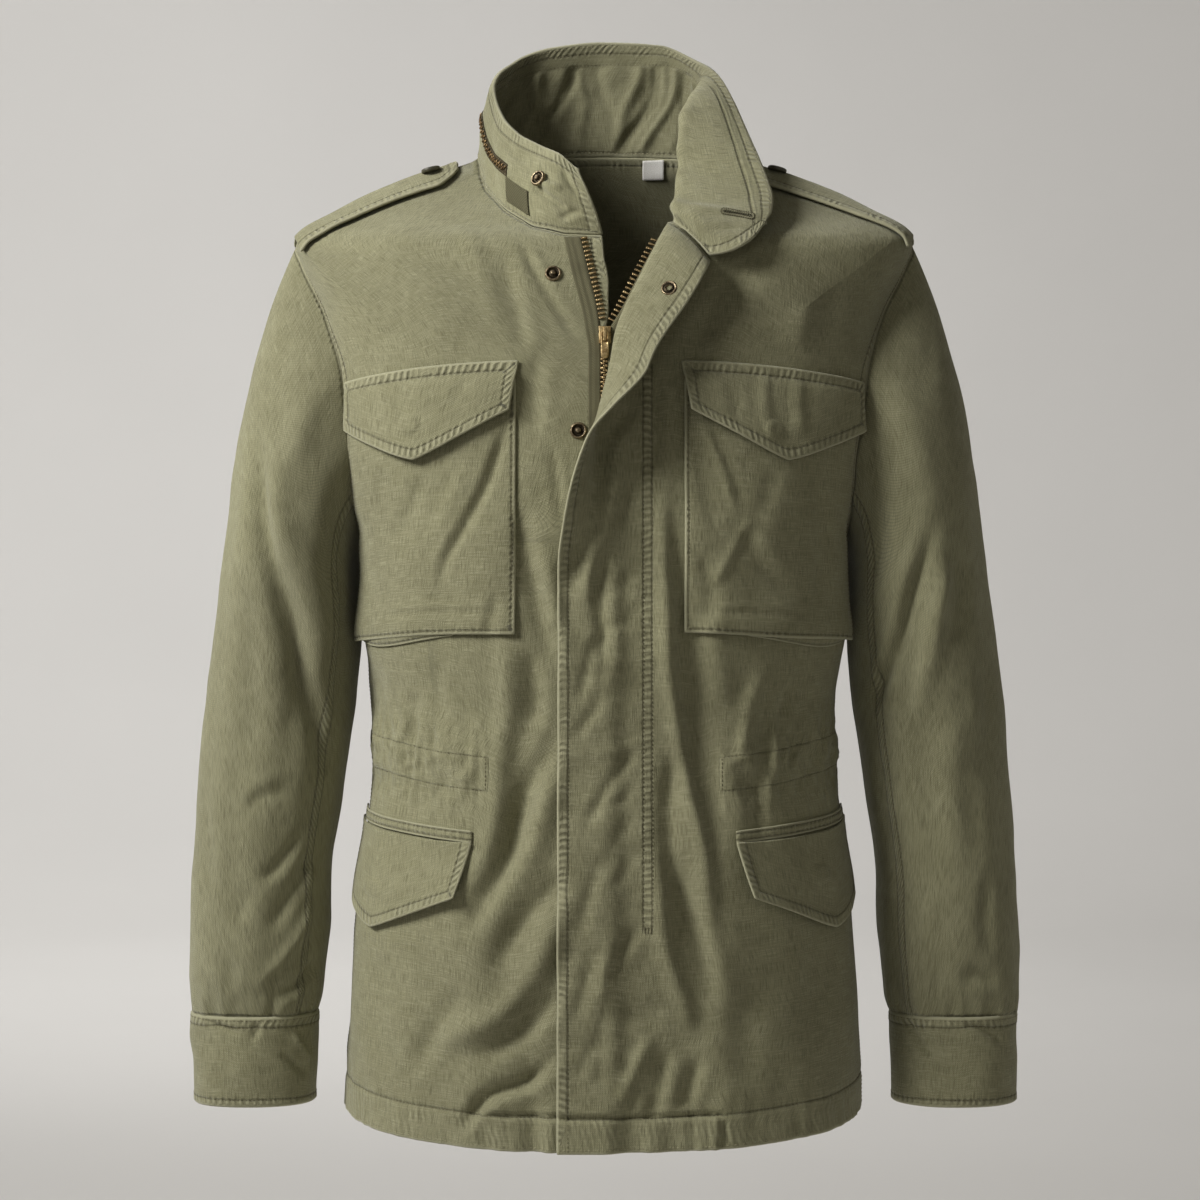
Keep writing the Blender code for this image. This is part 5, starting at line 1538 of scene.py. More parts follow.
# Snaps on the right front: distance from the middle and height.
STUDS = {"upper": (-38.0, -94.0), "lower": (-19.0, -212.0)}
FLY_SNAP = (-95.5, 0.69)           # fold height and share of the fly's width
COLLAR_SNAP = (47.0, 0.62)         # walk along the collar and share of its height
HOOD_ZIP = (84.0, 408.0, 0.5, 5.0)     # walk from and to, share of the height, half width
COLLAR_PATCH = (57.0, 84.0, 0.12, 0.42)    # walk from and to, share of the height from and to
NECK_LABEL = (32.0, 49.0, 17.5, 3.5)   # distance from the middle and height, from and to
LABEL_WALL = 0.8


# ------------------------------------------------------------------------ zip
# Zip tapes: height, then the sewn and the toothed edge of the right one, and the toothed and
# the sewn edge of the left one, each from the middle.
TAPES = (
    (-702, -11.5, -3.2, 3.2, 13),
    (-150, -11.5, -3.2, 3.2, 16),
    (-141, -13, -3.5, 3.5, 19),
    (-123, -16, -5, 12.5, 26),
    (-100, -22, -10, 24, 36),
    (-66, -30, -18, 41.5, 52),
)
TAPE_TOP = -66.0
TAPE_FOOT = -700.0
TAPE_WALL = 0.8
CHAIN_WIDTH = 5.2
OPEN_CHAIN_TOP = -67.0
OPEN_CHAIN_FOOT = -129.0
CLOSED_CHAIN_TOP = -149.0
TOOTH_PITCH = 3.4
SLIDER_X = 0.5
SLIDER_LIFT = 2.7
SLIDER_DEPTH = 3.8
HINGE_PROUD = 1.35                 # the tab's hinge stands this far out of the slider
HINGE_UP = 2.5
# Boxes of the slider: low corner, high corner, bevel, segments of the bevel.
SLIDER_BOXES = {
    "plate": ((-4.5, 0.1, -6.5), (4.5, 1.3, 6.5), 0.55, 3),
    "back": ((-4.5, 2.5, -6.5), (4.5, 3.7, 6.5), 0.55, 3),
    "rail": ((-4.5, 0.4, -6.3), (-3.5, 3.2, 1.5), 0.35, 2),
    "bridge": ((-1.1, -4.1, -3.3), (1.1, -2.9, 5.4), 0.45, 3),
    "foot": ((-1.0, -3.6, 4.0), (1.0, 0.6, 5.5), 0.4, 3),
    "heel": ((-1.0, -3.6, -4.4), (1.0, 0.6, -3.0), 0.4, 3),
}
SLIDER_TAPER = 0.16                # share of its width lost towards its foot
# Outlines of the pull tab and its slot: half widths at the top, waist and foot, both ends.
TAB = (3.8, 2.9, 3.6, 0.75, -20.0)
TAB_SLOT = (2.0, 1.7, 1.9, -0.75, -8.2)
TAB_HALF = 0.72                    # half of its thickness
TAB_BEVEL = 0.22


def front_point(x, z, lift):
    """Points over the body form at distances from the middle and heights, and their normals."""
    x, z = np.broadcast_arrays(np.asarray(x, float), np.asarray(z, float))
    turn = turn_at_x(x, z)
    return drape(z, turn, lift), body_normal(z, turn)


def tape(name, node, heights, low, high, side, look):
    """A zip tape between two distances from the middle, on the right front or under the left."""
    z = np.asarray(heights, float)[:, None]
    share = np.linspace(0, 1, 7)[None, :]
    x = low(z) * (1 - share) + high(z) * share
    top = UNDER + TAPE_WALL if side == "right" else left_rise(x, z) - CLOTH - 0.4
    outer, normal = front_point(x, z, top)
    return shell(name, outer[::-1], (outer - normal * TAPE_WALL)[::-1], look, (node,))


def rounded_box(low, high, bevel, segments=2):
    """Points and faces of a box with rounded edges."""
    mesh = bmesh.new()
    bmesh.ops.create_cube(mesh, size=1.0)
    low, high = np.array(low, float), np.array(high, float)
    for vertex in mesh.verts:
        vertex.co = Vector((low + high) / 2 + np.array(vertex.co) * (high - low))
    bmesh.ops.bevel(mesh, geom=list(mesh.edges), offset=bevel, segments=segments, profile=0.6,
                    affect="EDGES")
    points = np.array([vertex.co for vertex in mesh.verts])
    faces = [[vertex.index for vertex in face.verts] for face in mesh.faces]
    mesh.free()
    return points, faces


def joined(parts):
    """One list of points and faces from several."""
    points, faces, start = [], [], 0
    for some, theirs in parts:
        points.append(np.asarray(some))
        faces += [[start + i for i in face] for face in theirs]
        start += len(some)
    return np.concatenate(points), faces


def teeth(name, node, heights, centre_x, lift, half, look, stagger=0.0):
    """Zip teeth across a line down the front; stagger moves every second one to a side."""
    z = np.asarray(heights, float)
    point, normal = front_point(centre_x(z), z, lift)
    ahead, _ = front_point(centre_x(z - 1), z - 1, lift)
    along = ahead - point
    along = unit(along)
    across = np.cross(along, normal)
    across = unit(across)
    bar = joined((rounded_box((-half, -0.62, -1.0), (half * 0.35, 0.62, 0.85), 0.3),
                  rounded_box((half * 0.2, -0.9, -0.8), (half, 0.9, 0.65), 0.35)))
    parts = []
    for index in range(len(z)):
        flip = -1 if stagger and index % 2 else 1
        local = bar[0] * (flip, 1, 1) + (flip * stagger, 0, 0)
        base = np.stack((across[index], along[index], normal[index]))
        faces = bar[1] if flip > 0 else [face[::-1] for face in bar[1]]
        parts.append((point[index] + local @ base, faces))
    return ride_new(name, *joined(parts), look, (node,))


def build_zip(tape_look, brass):
    """The main zip's tapes and its three runs of teeth."""
    heights = np.concatenate((np.linspace(TAPE_TOP, -200, 60),
                              np.linspace(-200, TAPE_FOOT, 70)[1:]))

    def edge(index):
        return lambda z: column(TAPES, index, z)

    tape("tape_right", "zip_tape_right", heights, edge(1), edge(2), "right", tape_look)
    tape("tape_left", "zip_tape_left", heights, edge(3), edge(4), "left", tape_look)
    middle = SEAM + CHAIN_WIDTH / 2
    half = CHAIN_WIDTH / 2 - 0.1
    open_part = np.arange(OPEN_CHAIN_TOP, OPEN_CHAIN_FOOT, -TOOTH_PITCH)
    closed_part = np.arange(CLOSED_CHAIN_TOP, TAPE_FOOT, -TOOTH_PITCH / 2)
    teeth("teeth_right", "zip_chain_right", open_part,
          lambda z: column(TAPES, 2, z) + middle, 1.7, half, brass)
    teeth("teeth_left", "zip_chain_left", open_part - TOOTH_PITCH / 2,
          lambda z: column(TAPES, 3, z) - middle, 2.0, half, brass)
    teeth("teeth_lower", "zip_chain_lower", closed_part, lambda z: 0 * z, 1.9, 1.7, brass, 0.8)


def build_slider(brass):
    """Slider with its bridge, and the pull tab hung on it."""
    # It lies over the folds alone, as its solid does, so that the tab meets the joint's axis.
    z = np.array([ZIP_OPEN_Z])
    turn = turn_at_x(np.array([SLIDER_X]), z)
    front = (body(z, turn) + body_normal(z, turn) * folds(z, turn)[..., None])[0]
    centre = np.array((SLIDER_X, front[1] - SLIDER_LIFT - SLIDER_DEPTH, ZIP_OPEN_Z))
    parts = []
    for key, box in SLIDER_BOXES.items():
        points, faces = rounded_box(*box)
        if key in ("plate", "back"):
            points[:, :1] *= 1 - SLIDER_TAPER * smooth((2.0 - points[:, 2:3]) / 8.0)
        parts.append((points, faces))
        if key == "rail":
            parts.append((points * (-1, 1, 1), [face[::-1] for face in faces]))
    points, faces = joined(parts)
    ride_new("slider", points + centre, faces, brass, ("zip_slider",))
    hinge = centre + np.array((0, -HINGE_PROUD, HINGE_UP))
    points, faces = plate_with_hole(tab_outline(*TAB), tab_outline(*TAB_SLOT), TAB_HALF, TAB_BEVEL)
    ride_new("pull", points + hinge, faces, brass, ("zip_pull_tab",), "pull_tab")


def tab_outline(top, waist, low, z_top, z_low, count=64):
    """Closed outline of a tab with rounded ends, anticlockwise from its right side."""
    angle = np.linspace(0, math.tau, count, endpoint=False)
    z_middle, reach = (z_top + z_low) / 2, (z_top - z_low) / 2
    up = power(np.sin(angle), 0.55)
    part = (1 + up) / 2
    half = np.where(part > 0.5, waist + (top - waist) * (2 * part - 1) ** 2,
                    waist + (low - waist) * (1 - 2 * part) ** 2)
    return np.stack((half * power(np.cos(angle), 0.55), z_middle + reach * up), axis=-1)


def plate_with_hole(outline, hole, half, bevel):
    """Points and faces of a flat plate with a hole, its edges bevelled."""
    count = len(outline)
    rings = []
    for loop, sign in ((outline, -1), (hole, 1)):
        centre = loop.mean(axis=0)
        away = loop - centre
        inner = loop + unit(away) * bevel * sign
        for flat, y in ((inner, -half), (loop, -half + bevel), (loop, half - bevel),
                        (inner, half)):
            rings.append(np.stack((flat[:, 0], np.full(count, y), flat[:, 1]), axis=-1))
    points = np.concatenate(rings)
    faces = []
    order = (0, 1, 2, 3, 7, 6, 5, 4, 0)
    for a, b in zip(order[:-1], order[1:]):
        for i in range(count):
            j = (i + 1) % count
            faces.append((a * count + i, a * count + j, b * count + j, b * count + i))
    return points, faces


# -------------------------------------------------------------------- looks
class Graph:
    """Short hand for a material's nodes."""

    def __init__(self, name):
        self.look = bpy.data.materials.new(name)
        self.look.use_nodes = True
        self.nodes = self.look.node_tree.nodes
        self.shader = self.nodes["Principled BSDF"]

    def node(self, kind, inputs=(), **settings):
        made = self.nodes.new("ShaderNode" + kind)
        for key, value in settings.items():
            setattr(made, key, value)
        for key, value in dict(inputs).items():
            self.put(value, made.inputs[key])
        return made

    def put(self, value, socket):
        if hasattr(value, "links") or isinstance(value, bpy.types.NodeSocket):
            self.look.node_tree.links.new(value, socket)
        else:
            socket.default_value = value

    def math(self, operation, a, b=0.0, c=0.0, clamp=False):
        made = self.node("Math", {0: a, 1: b, 2: c}, operation=operation, use_clamp=clamp)
        return made.outputs[0]

    def add(self, a, b):
        return self.math("ADD", a, b)

    def sub(self, a, b):
        return self.math("SUBTRACT", a, b)

    def mul(self, a, b):
        return self.math("MULTIPLY", a, b)

    def mul_add(self, a, b, c):
        return self.math("MULTIPLY_ADD", a, b, c)

    def power(self, a, b):
        return self.math("POWER", a, b)

    def largest(self, a, b):
        return self.math("MAXIMUM", a, b)

    def sine(self, a):
        return self.math("SINE", a)

    def size(self, a):
        return self.math("ABSOLUTE", a)

    def uv(self):
        return self.node("UVMap", uv_map="cloth").outputs[0]

    def place(self):
        return self.node("TexCoord").outputs["Object"]

    def split(self, vector):
        return self.node("SeparateXYZ", {"Vector": vector}).outputs

    def field(self, name):
        return self.node("Attribute", attribute_name=name).outputs["Fac"]

    def noise(self, vector, scale, detail=2.0, rough=0.5):
        return self.node("TexNoise", {"Vector": vector, "Scale": scale, "Detail": detail,
                                      "Roughness": rough}).outputs["Fac"]

    def stretch(self, vector, scale):
        return self.node("Mapping", {"Vector": vector, "Scale": scale}).outputs[0]

    def mix(self, share, a, b):
        made = self.node("Mix", data_type="RGBA")
        self.put(share, made.inputs[0])
        self.put(a, made.inputs[6])
        self.put(b, made.inputs[7])
        return made.outputs[2]

    def ramp(self, value, low, high, to_low=0.0, to_high=1.0):
        return self.node("MapRange", {"Value": value, "From Min": low, "From Max": high,
                                      "To Min": to_low, "To Max": to_high},
                         interpolation_type="SMOOTHSTEP").outputs[0]

    def bump(self, height, distance, normal=None):
        made = self.node("Bump", {"Height": height, "Distance": distance, "Strength": 1.0})
        if normal is not None:
            self.put(normal, made.inputs["Normal"])
        return made.outputs[0]

    def set(self, **values):
        for key, value in values.items():
            self.put(value, self.shader.inputs[key.replace("_", " ")])


def rgb(red, green, blue):
    """Linear colour of display values from 0 to 255."""
    return tuple(((c / 255 + 0.055) / 1.055) ** 2.4 if c > 10 else c / 255 / 12.92
                 for c in (red, green, blue)) + (1.0,)


ROW_HALF = 3.25            # each row of a double row, from its middle


def sewn_lines(g):
    """Masks of the grooves of the stitch lines that don't follow an edge, double rows and the
    casing's; the cloth paints them as shade and sinks them in its bump.
    """
    def line(away, width):
        return g.power(math.e, g.mul(g.mul(away, away), -1 / width ** 2))

    row = g.sub(g.size(g.field("row")), ROW_HALF)
    row = g.mul(line(row, 0.75), g.field("row_on"))
    band, end = g.size(g.field("band")), g.field("band_end")
    level = line(g.sub(band, CASING_HEIGHT / 2), 0.75)
    level = g.mul(level, g.ramp(end, -0.4, 0.4))
    upright = g.mul(line(end, 0.75),
                    g.ramp(band, CASING_HEIGHT / 2 - 0.4, CASING_HEIGHT / 2 + 0.4, 1.0, 0.0))
    casing = g.mul(g.largest(level, upright), g.mul(g.field("band_on"), 0.6))
    return g.largest(row, casing)


def cloth_look(name, base, dark, pale):
    """Faded sateen: slubs and yarns, worn edges, painted shade in the stitched grooves and the
    puckers' hollows, and an inner face painted darker, partly less faded cloth and partly shade.
    """
    g = Graph(name)
    uv, place = g.uv(), g.place()
    broad = g.noise(place, 6.0, 1.5)
    mottle = g.noise(place, 55.0, 4.0, 0.6)
    slub = g.noise(g.stretch(uv, (55.0, 1250.0, 1.0)), 1.0, 2.0, 0.6)
    long_slub = g.noise(g.stretch(uv, (14.0, 700.0, 1.0)), 1.0, 1.0)
    warp = g.noise(g.stretch(uv, (1500.0, 90.0, 1.0)), 1.0, 1.0)
    grain = g.noise(g.stretch(uv, (1900.0, 1900.0, 1.0)), 1.0, 2.0)
    rim, seam, way = g.field("rim"), g.field("seam"), g.field("way")
    # deep is the darkest tone: the twill's dark yarns, and the painted shade of grooves, hollows
    # and the inside.
    deep = tuple(0.45 * c for c in dark[:3]) + (1.0,)
    depth = g.mul(rim, seam)
    parts = g.split(uv)
    twill = g.sine(g.mul_add(g.add(parts[0], parts[1]), 4300.0, g.mul(grain, 5.0)))
    run = g.add(g.mul(parts[0], g.sub(1000.0, g.mul(way, 1000.0))),
                g.mul(parts[1], g.mul(way, 1000.0)))
    turn = g.mul_add(run, math.tau / PUCKER_PITCH, g.mul(depth, 0.35))
    turn = g.mul_add(g.sine(g.mul(run, 0.021)), 1.7, turn)
    turn = g.mul_add(g.sine(g.mul_add(run, 0.057, 1.0)), 1.2, turn)
    turn = g.mul_add(g.noise(place, 42.0, 2.0), 9.0, turn)
    wave = g.sine(turn)
    broken = g.mul(wave, g.ramp(g.noise(place, 70.0, 2.0), 0.35, 0.65, 0.1, 1.0))
    past = g.sub(depth, seam)
    window = g.mul(g.ramp(depth, 0.4, 1.8), g.ramp(past, -0.6, 3.2, 1.0, 0.0))
    narrow = g.ramp(seam, 9.0, 18.0, 1.0, 0.45)
    pucker = g.mul(g.mul(broken, window), narrow)
    along = g.mul_add(parts[1], 1000.0 * math.tau / PUCKER_PITCH,
                      g.mul(g.noise(place, 42.0, 2.0), 9.0))
    rows = g.mul(g.ramp(g.size(g.field("row")), 2.4, 5.5, 1.0, 0.0), g.field("row_on"))
    pucker = g.mul_add(g.sine(along), g.mul(rows, 0.7), pucker)
    stitch = g.power(math.e, g.mul(g.mul(past, past), -1.1))
    near_edge = g.ramp(g.add(depth, g.mul(mottle, 1.2)), 0.7, 2.1, 1.0, 0.0)
    band = g.mul(g.ramp(past, -1.5, 1.0, 1.0, 0.0), narrow)
    colour = g.mix(g.ramp(broad, 0.3, 0.7, 0.45, 1.0), dark, base)
    colour = g.mix(g.ramp(mottle, 0.35, 0.75, 0.0, 0.22), colour, pale)
    colour = g.mix(g.ramp(slub, 0.42, 0.74, 0.0, 0.6), colour, pale)
    colour = g.mix(g.ramp(long_slub, 0.62, 0.8, 0.0, 0.25), colour, dark)
    colour = g.mix(g.ramp(grain, 0.45, 0.75, 0.0, 0.6), colour, pale)
    colour = g.mix(g.ramp(warp, 0.42, 0.72, 0.0, 0.75), colour, dark)
    colour = g.mix(g.ramp(twill, 0.1, 1.0, 0.0, 0.32), colour, deep)
    crest = g.mul(g.ramp(pucker, 0.0, 0.9), 0.4)
    # The puckers' hollows get painted shade.
    valley_shade = g.mul(g.ramp(pucker, 0.0, -0.9), 0.34)
    colour = g.mix(g.mul(band, 0.16), colour, pale)
    colour = g.mix(crest, colour, pale)
    colour = g.mix(valley_shade, colour, deep)
    colour = g.mix(g.mul(near_edge, 0.7), colour, rgb(172, 170, 142))
    # The inner face is painted darker: partly its less faded cloth, partly painted shade inside
    # the jacket.
    colour = g.mix(g.mul(g.field("inside"), 0.42), colour, deep)
    # Painted shade in the stitch grooves; the same mask sinks them in the bump below.
    groove = g.largest(stitch, sewn_lines(g))
    colour = g.mix(g.mul(groove, 0.42), colour, deep)
    g.set(Base_Color=colour, Roughness=g.ramp(mottle, 0.2, 0.8, 0.82, 0.96),
          Sheen_Weight=0.35, Sheen_Roughness=0.45, Sheen_Tint=(0.86, 0.86, 0.74, 1.0),
          Specular_IOR_Level=0.25)
    threads_up = g.add(g.mul(slub, 0.55), g.mul(grain, 0.5))
    threads_up = g.add(threads_up, g.mul(warp, 0.45))
    fine = g.bump(threads_up, 0.0008)
    soft = g.sub(g.mul(pucker, 0.4), g.mul(groove, 0.5))
    soft = g.add(soft, g.mul(mottle, 0.9))
    gathers = g.noise(g.stretch(place, (150.0, 150.0, 9.0)), 1.0, 1.0)
    spread = g.mul(g.ramp(g.size(g.field("band")), 9.0, 40.0, 1.0, 0.0),
                   g.mul(g.field("band_on"), g.ramp(g.field("band_end"), -4.0, 6.0)))
    soft = g.mul_add(gathers, g.mul(spread, 1.6), soft)
    g.set(Normal=g.bump(soft, 0.0011, fine))
    return g.look


def thread_look(name, light, dark):
    g = Graph(name)
    place = g.place()
    twist = g.noise(place, 900.0, 2.0)
    g.set(Base_Color=g.mix(g.ramp(twist, 0.3, 0.7), dark, light), Roughness=0.75,
          Specular_IOR_Level=0.3, Normal=g.bump(twist, 0.0002))
    return g.look


def tape_look(name, light, dark):
    """Woven tape: herringbone from the run across and along it."""
    g = Graph(name)
    uv = g.uv()
    place = g.place()
    parts = g.split(uv)
    chevron = g.math("PINGPONG", parts[0], 0.0024)
    twill = g.sine(g.mul(g.add(parts[1], chevron), 5200.0))
    dirt = g.noise(place, 60.0, 3.0)
    colour = g.mix(g.ramp(twill, -1.0, 1.0), dark, light)
    colour = g.mix(g.ramp(dirt, 0.4, 0.8, 0.0, 0.4), colour, dark)
    g.set(Base_Color=colour, Roughness=0.9, Specular_IOR_Level=0.25,
          Normal=g.bump(twill, 0.00025))
    return g.look


def patch_look(name, light, dark):
    """Fine ribbed cloth."""
    g = Graph(name)
    uv = g.uv()
    parts = g.split(uv)
    rib = g.sine(g.mul(parts[1], 4800.0))
    grain = g.noise(g.stretch(uv, (1500.0, 1500.0, 1.0)), 1.0, 2.0)
    colour = g.mix(g.ramp(g.add(rib, grain), -0.5, 1.5), dark, light)
    g.set(Base_Color=colour, Roughness=0.85, Specular_IOR_Level=0.3,
          Normal=g.bump(rib, 0.0003))
    return g.look


def label_look(name):
    """Blank woven satin label."""
    g = Graph(name)
    uv = g.uv()
    weave = g.noise(g.stretch(uv, (900.0, 2600.0, 1.0)), 1.0, 2.0)
    soil = g.noise(g.place(), 80.0, 3.0)
    colour = g.mix(g.ramp(weave, 0.35, 0.7), rgb(206, 204, 198), rgb(233, 232, 228))
    colour = g.mix(g.ramp(soil, 0.5, 0.8, 0.0, 0.4), colour, rgb(188, 184, 172))
    g.set(Base_Color=colour, Roughness=0.6, Sheen_Weight=0.2, Normal=g.bump(weave, 0.0002))
    return g.look


def metal_look(name, bright, dull, rough):
    """Worn metal: tarnish in broad spots, fine scratches over it."""
    g = Graph(name)
    place = g.place()
    spots = g.noise(place, 340.0, 4.0, 0.65)
    fine = g.noise(g.stretch(place, (900.0, 900.0, 5200.0)), 1.0, 2.0)
    tarnish = g.ramp(spots, 0.35, 0.65)
    metal = g.mix(tarnish, bright, dull)
    metal = g.mix(g.mul(g.field("well"), 0.9), metal, rgb(30, 26, 20))
    g.set(Base_Color=metal, Metallic=1.0,
          Roughness=g.ramp(spots, 0.3, 0.75, rough, rough + 0.3),
          Normal=g.bump(g.add(fine, spots), 0.00012))
    return g.look


def button_look(name):
    """Olive plastic with faint clouding."""
    g = Graph(name)
    cloud = g.noise(g.place(), 260.0, 4.0, 0.6)
    g.set(Base_Color=g.mix(g.ramp(cloud, 0.3, 0.7), rgb(58, 56, 44), rgb(92, 89, 71)),
          Roughness=g.ramp(cloud, 0.3, 0.7, 0.38, 0.55), Normal=g.bump(cloud, 0.00015))
    return g.look


def make_looks():
    olive, shade, worn = rgb(141, 139, 106), rgb(112, 109, 82), rgb(176, 174, 144)
    return {
        "cloth": cloth_look("olive_cloth", olive, shade, worn),
        "tape": tape_look("zip_tape", rgb(136, 132, 102), rgb(92, 89, 68)),
        "hood_tape": tape_look("hood_zip_tape", rgb(94, 82, 58), rgb(58, 50, 36)),
        "patch": patch_look("ribbed_patch", rgb(122, 119, 90), rgb(76, 73, 54)),
        "label": label_look("label_weave"),
        "brass": metal_look("antique_brass", rgb(222, 197, 146), rgb(150, 126, 88), 0.34),
        "bronze": metal_look("antique_bronze", rgb(172, 156, 126), rgb(84, 72, 58), 0.32),
        "brass_dark": metal_look("dark_brass", rgb(150, 124, 84), rgb(84, 68, 48), 0.35),
        "teeth": metal_look("zip_teeth", rgb(212, 188, 140), rgb(122, 102, 74), 0.34),
        "button": button_look("button_plastic"),
        "thread_light": thread_look("thread_pale", rgb(178, 174, 146), rgb(140, 136, 108)),
        # Near-black thread that paints the buttonhole's shade.
        "thread_deep": thread_look("thread_deep", rgb(74, 70, 52), rgb(50, 47, 35)),
        "thread_dark": thread_look("thread_olive", rgb(118, 113, 86), rgb(78, 74, 56)),
    }


# ------------------------------------------------------------------- assembly
ARM_BAND = 8.0             # width of the stitched band beside the armhole
FLY_BAND = 7.5
FLY_ROWS = (28.7, 35.3)    # double row of stitches down the left front
FLY_ROWS_Z = (-164.0, -577.0)
SLEEVE_ROW = 3.2           # each row of a sleeve seam's double stitching, from its middle


def seam_bump(away):
    """Height of a double-stitched seam at a distance from its middle."""
    away = np.abs((away + 180) % 360 - 180)
    return 0.9 * (1 - smooth((away - 3.4) / 1.8)) - 0.45 * bell((away - SLEEVE_ROW) / 0.9)


def neck_run(grid, start_x, first, from_centre):
    """The neckline of a half panel's top row, from its centre edge to the neck point."""
    share = half_shares(start_x, first)
    corner = np.abs(share - neck_share(start_x)).argmin()
    row = grid[-1] if from_centre else grid[-1, ::-1]
    return row[:corner + 1]


def sewn_rows(grid, fly_columns=0, rows=False):
    """Fields of the casing's stitches, and of the double row down the left front."""
    x, y, z = (grid[..., i] for i in range(3))
    turn = np.abs(turn_at_x(x, z))
    turn = np.where(y > 0, 180 - turn, turn)
    shown = np.ones(z.shape)
    shown[:, :fly_columns] = 0
    fields = {"band": z - casing_edge(turn, True) + CASING_HEIGHT / 2, "band_on": shown,
              "band_end": (turn - CASING_TURN) * 4.0}
    if rows:
        low, high = FLY_ROWS_Z[1], FLY_ROWS_Z[0]
        fields["row"] = x - sum(FLY_ROWS) / 2
        fields["row_on"] = shown * (z > low - 3) * (z < high + 3)
    return fields


def finish_panel(name, node, grid, inward, edges, look, rows, unfaded_and_shade=1.0, raised=0.45):
    """Give a panel its doubled edges and make its shell; the outer points come back."""
    fields = seam_fields(grid, edges)
    fields.update(rows)
    outer = grid - inward * seam_relief(grid, fields, raised)[..., None]
    shell(name, outer, grid + inward * CLOTH, look, (node,), fields=fields, unfaded_and_shade=unfaded_and_shade)
    return outer


def build_panels(looks):
    """Both fronts and the back with their stitches, and the rows of the casing."""
    arm_row = (UNDERARM_Z - HEM_SIDE_Z) / (TIP_Z - HEM_SIDE_Z)
    outer_band = np.where(PANEL_ROWS > arm_row, ARM_BAND, 6.5)[:, None]
    grids = {}
    for name, left in (("right", False), ("left", True)):
        grid, inward = front_grid(left)
        edges = {"low": HEM_BAND, "last": outer_band, "first": FLY_BAND, "high": 2.0}
        if not left:
            grid, inward = grid[:, ::-1], inward[:, ::-1]
            edges = {"low": HEM_BAND, "first": outer_band, "last": FLY_BAND, "high": 2.0}
        rows = sewn_rows(grid, len(FLY_SHARES) if left else 0, left)
        fly = len(FLY_SHARES) if left else 0
        # Inner faces of the fronts, but not of the turned-out fly, are painted darker: partly less
        # faded cloth, partly painted shade.
        outer = finish_panel("body_front_" + name, "front_" + name, grid, inward, edges,
                             looks["cloth"], rows, (np.arange(grid.shape[1]) >= fly) * 1.0)
        grids[name] = (outer, inward)
        sew_edge(outer, -inward, "low", HEM_BAND)
        sew_edge(outer, -inward, "low", 2.0, shade="light")
        arm_edge = "last" if left else "first"
        sew_edge(outer, -inward, arm_edge, ARM_BAND)
        sew_edge(outer, -inward, arm_edge, 1.6, shade="light")
        if left:
            sew_edge(outer, -inward, "first", FLY_BAND)
            z = np.linspace(*FLY_ROWS_Z, 240)
            for x in FLY_ROWS:
                points, normals = front_point(x, z, left_rise(np.full(z.shape, x), z) + 0.1)
                sew(points, normals)
            for step in range(5):
                x = np.linspace(FLY_ROWS[0], FLY_ROWS[1], 8)
                points, normals = front_point(x, FLY_ROWS_Z[1] - step * 1.0, 0.35)
                sew(points, normals, pitch=2.2)
    grid, inward = back_grid()
    grid, inward = grid[:, ::-1], inward[:, ::-1]
    edges = {"low": HEM_BAND, "first": outer_band, "last": outer_band, "high": 6.0}
    outer = finish_panel("body_back", "back", grid, inward, edges, looks["cloth"],
                         sewn_rows(grid))
    grids["back"] = (outer, inward)
    for edge, distance in (("low", HEM_BAND), ("first", ARM_BAND), ("last", ARM_BAND),
                           ("high", 6.0)):
        sew_edge(outer, -inward, edge, distance)
    for top in (True, False):
        for side in (-1, 1):
            turn = np.linspace(CASING_TURN + 0.5, 179.5, 500)
            z = casing_edge(turn, top)
            points, out = drape(z, side * turn, 0.15), body_normal(z, side * turn)
            sew(points, out)
    for side in (-1, 1):
        turn = np.full(12, CASING_TURN + 0.5)
        z = np.linspace(casing_edge(turn[:1], True)[0], casing_edge(turn[:1], False)[0], 12)
        sew(drape(z, side * turn, 0.15), body_normal(z, side * turn))
    return grids


def build_sleeve(name, side, look):
    """A sleeve with its two double-stitched seams."""
    near = [turn + step for turn in SLEEVE_SEAMS for step in (-5, -3.2, -1.6, 0, 1.6, 3.2, 5)]
    turns = np.linspace(0, 360, 104, endpoint=False)
    away = np.abs(turns[:, None] - np.array(near)).min(axis=1)
    turns = np.sort(np.concatenate((turns[away > 1.7], near)))
    index = np.arange(len(turns))
    caps = spaced(((0, 0.012), (0.06, 0.018), (1, 0)))
    lower = np.linspace(SLEEVE_RINGS[0][0], SLEEVE_RINGS[-1][0], 92)[1:]
    grid = sleeve_grid(turns, caps, lower, name)
    inward = tube_inward(grid, True)
    fields = seam_fields(grid, {"low": 1.4, "high": 1.4})
    gaps = [np.abs((turns - turn + 180) % 360 - 180) for turn in SLEEVE_SEAMS]
    fields["row"] = np.broadcast_to(np.minimum(*gaps), grid.shape[:2])
    fields["row_on"] = np.ones(grid.shape[:2])
    outer = grid
    for turn in SLEEVE_SEAMS:
        outer = outer - inward * seam_bump(turns - turn)[None, :, None]
    outer, inner = mirrored(outer, side), mirrored(grid + inward * CLOTH, side)
    around = mirrored(-inward, side)
    shell("cloth_sleeve_" + name, outer, inner, look, ("sleeve_" + name,), True, fields)
    rows = np.arange(2, len(outer) - 1, dtype=float)
    for turn in SLEEVE_SEAMS:
        for shift in (-SLEEVE_ROW, SLEEVE_ROW):
            cols = np.full(rows.shape, np.interp(turn + shift, turns, index))
            sew(pick(outer, rows, cols), pick(around, rows, cols))


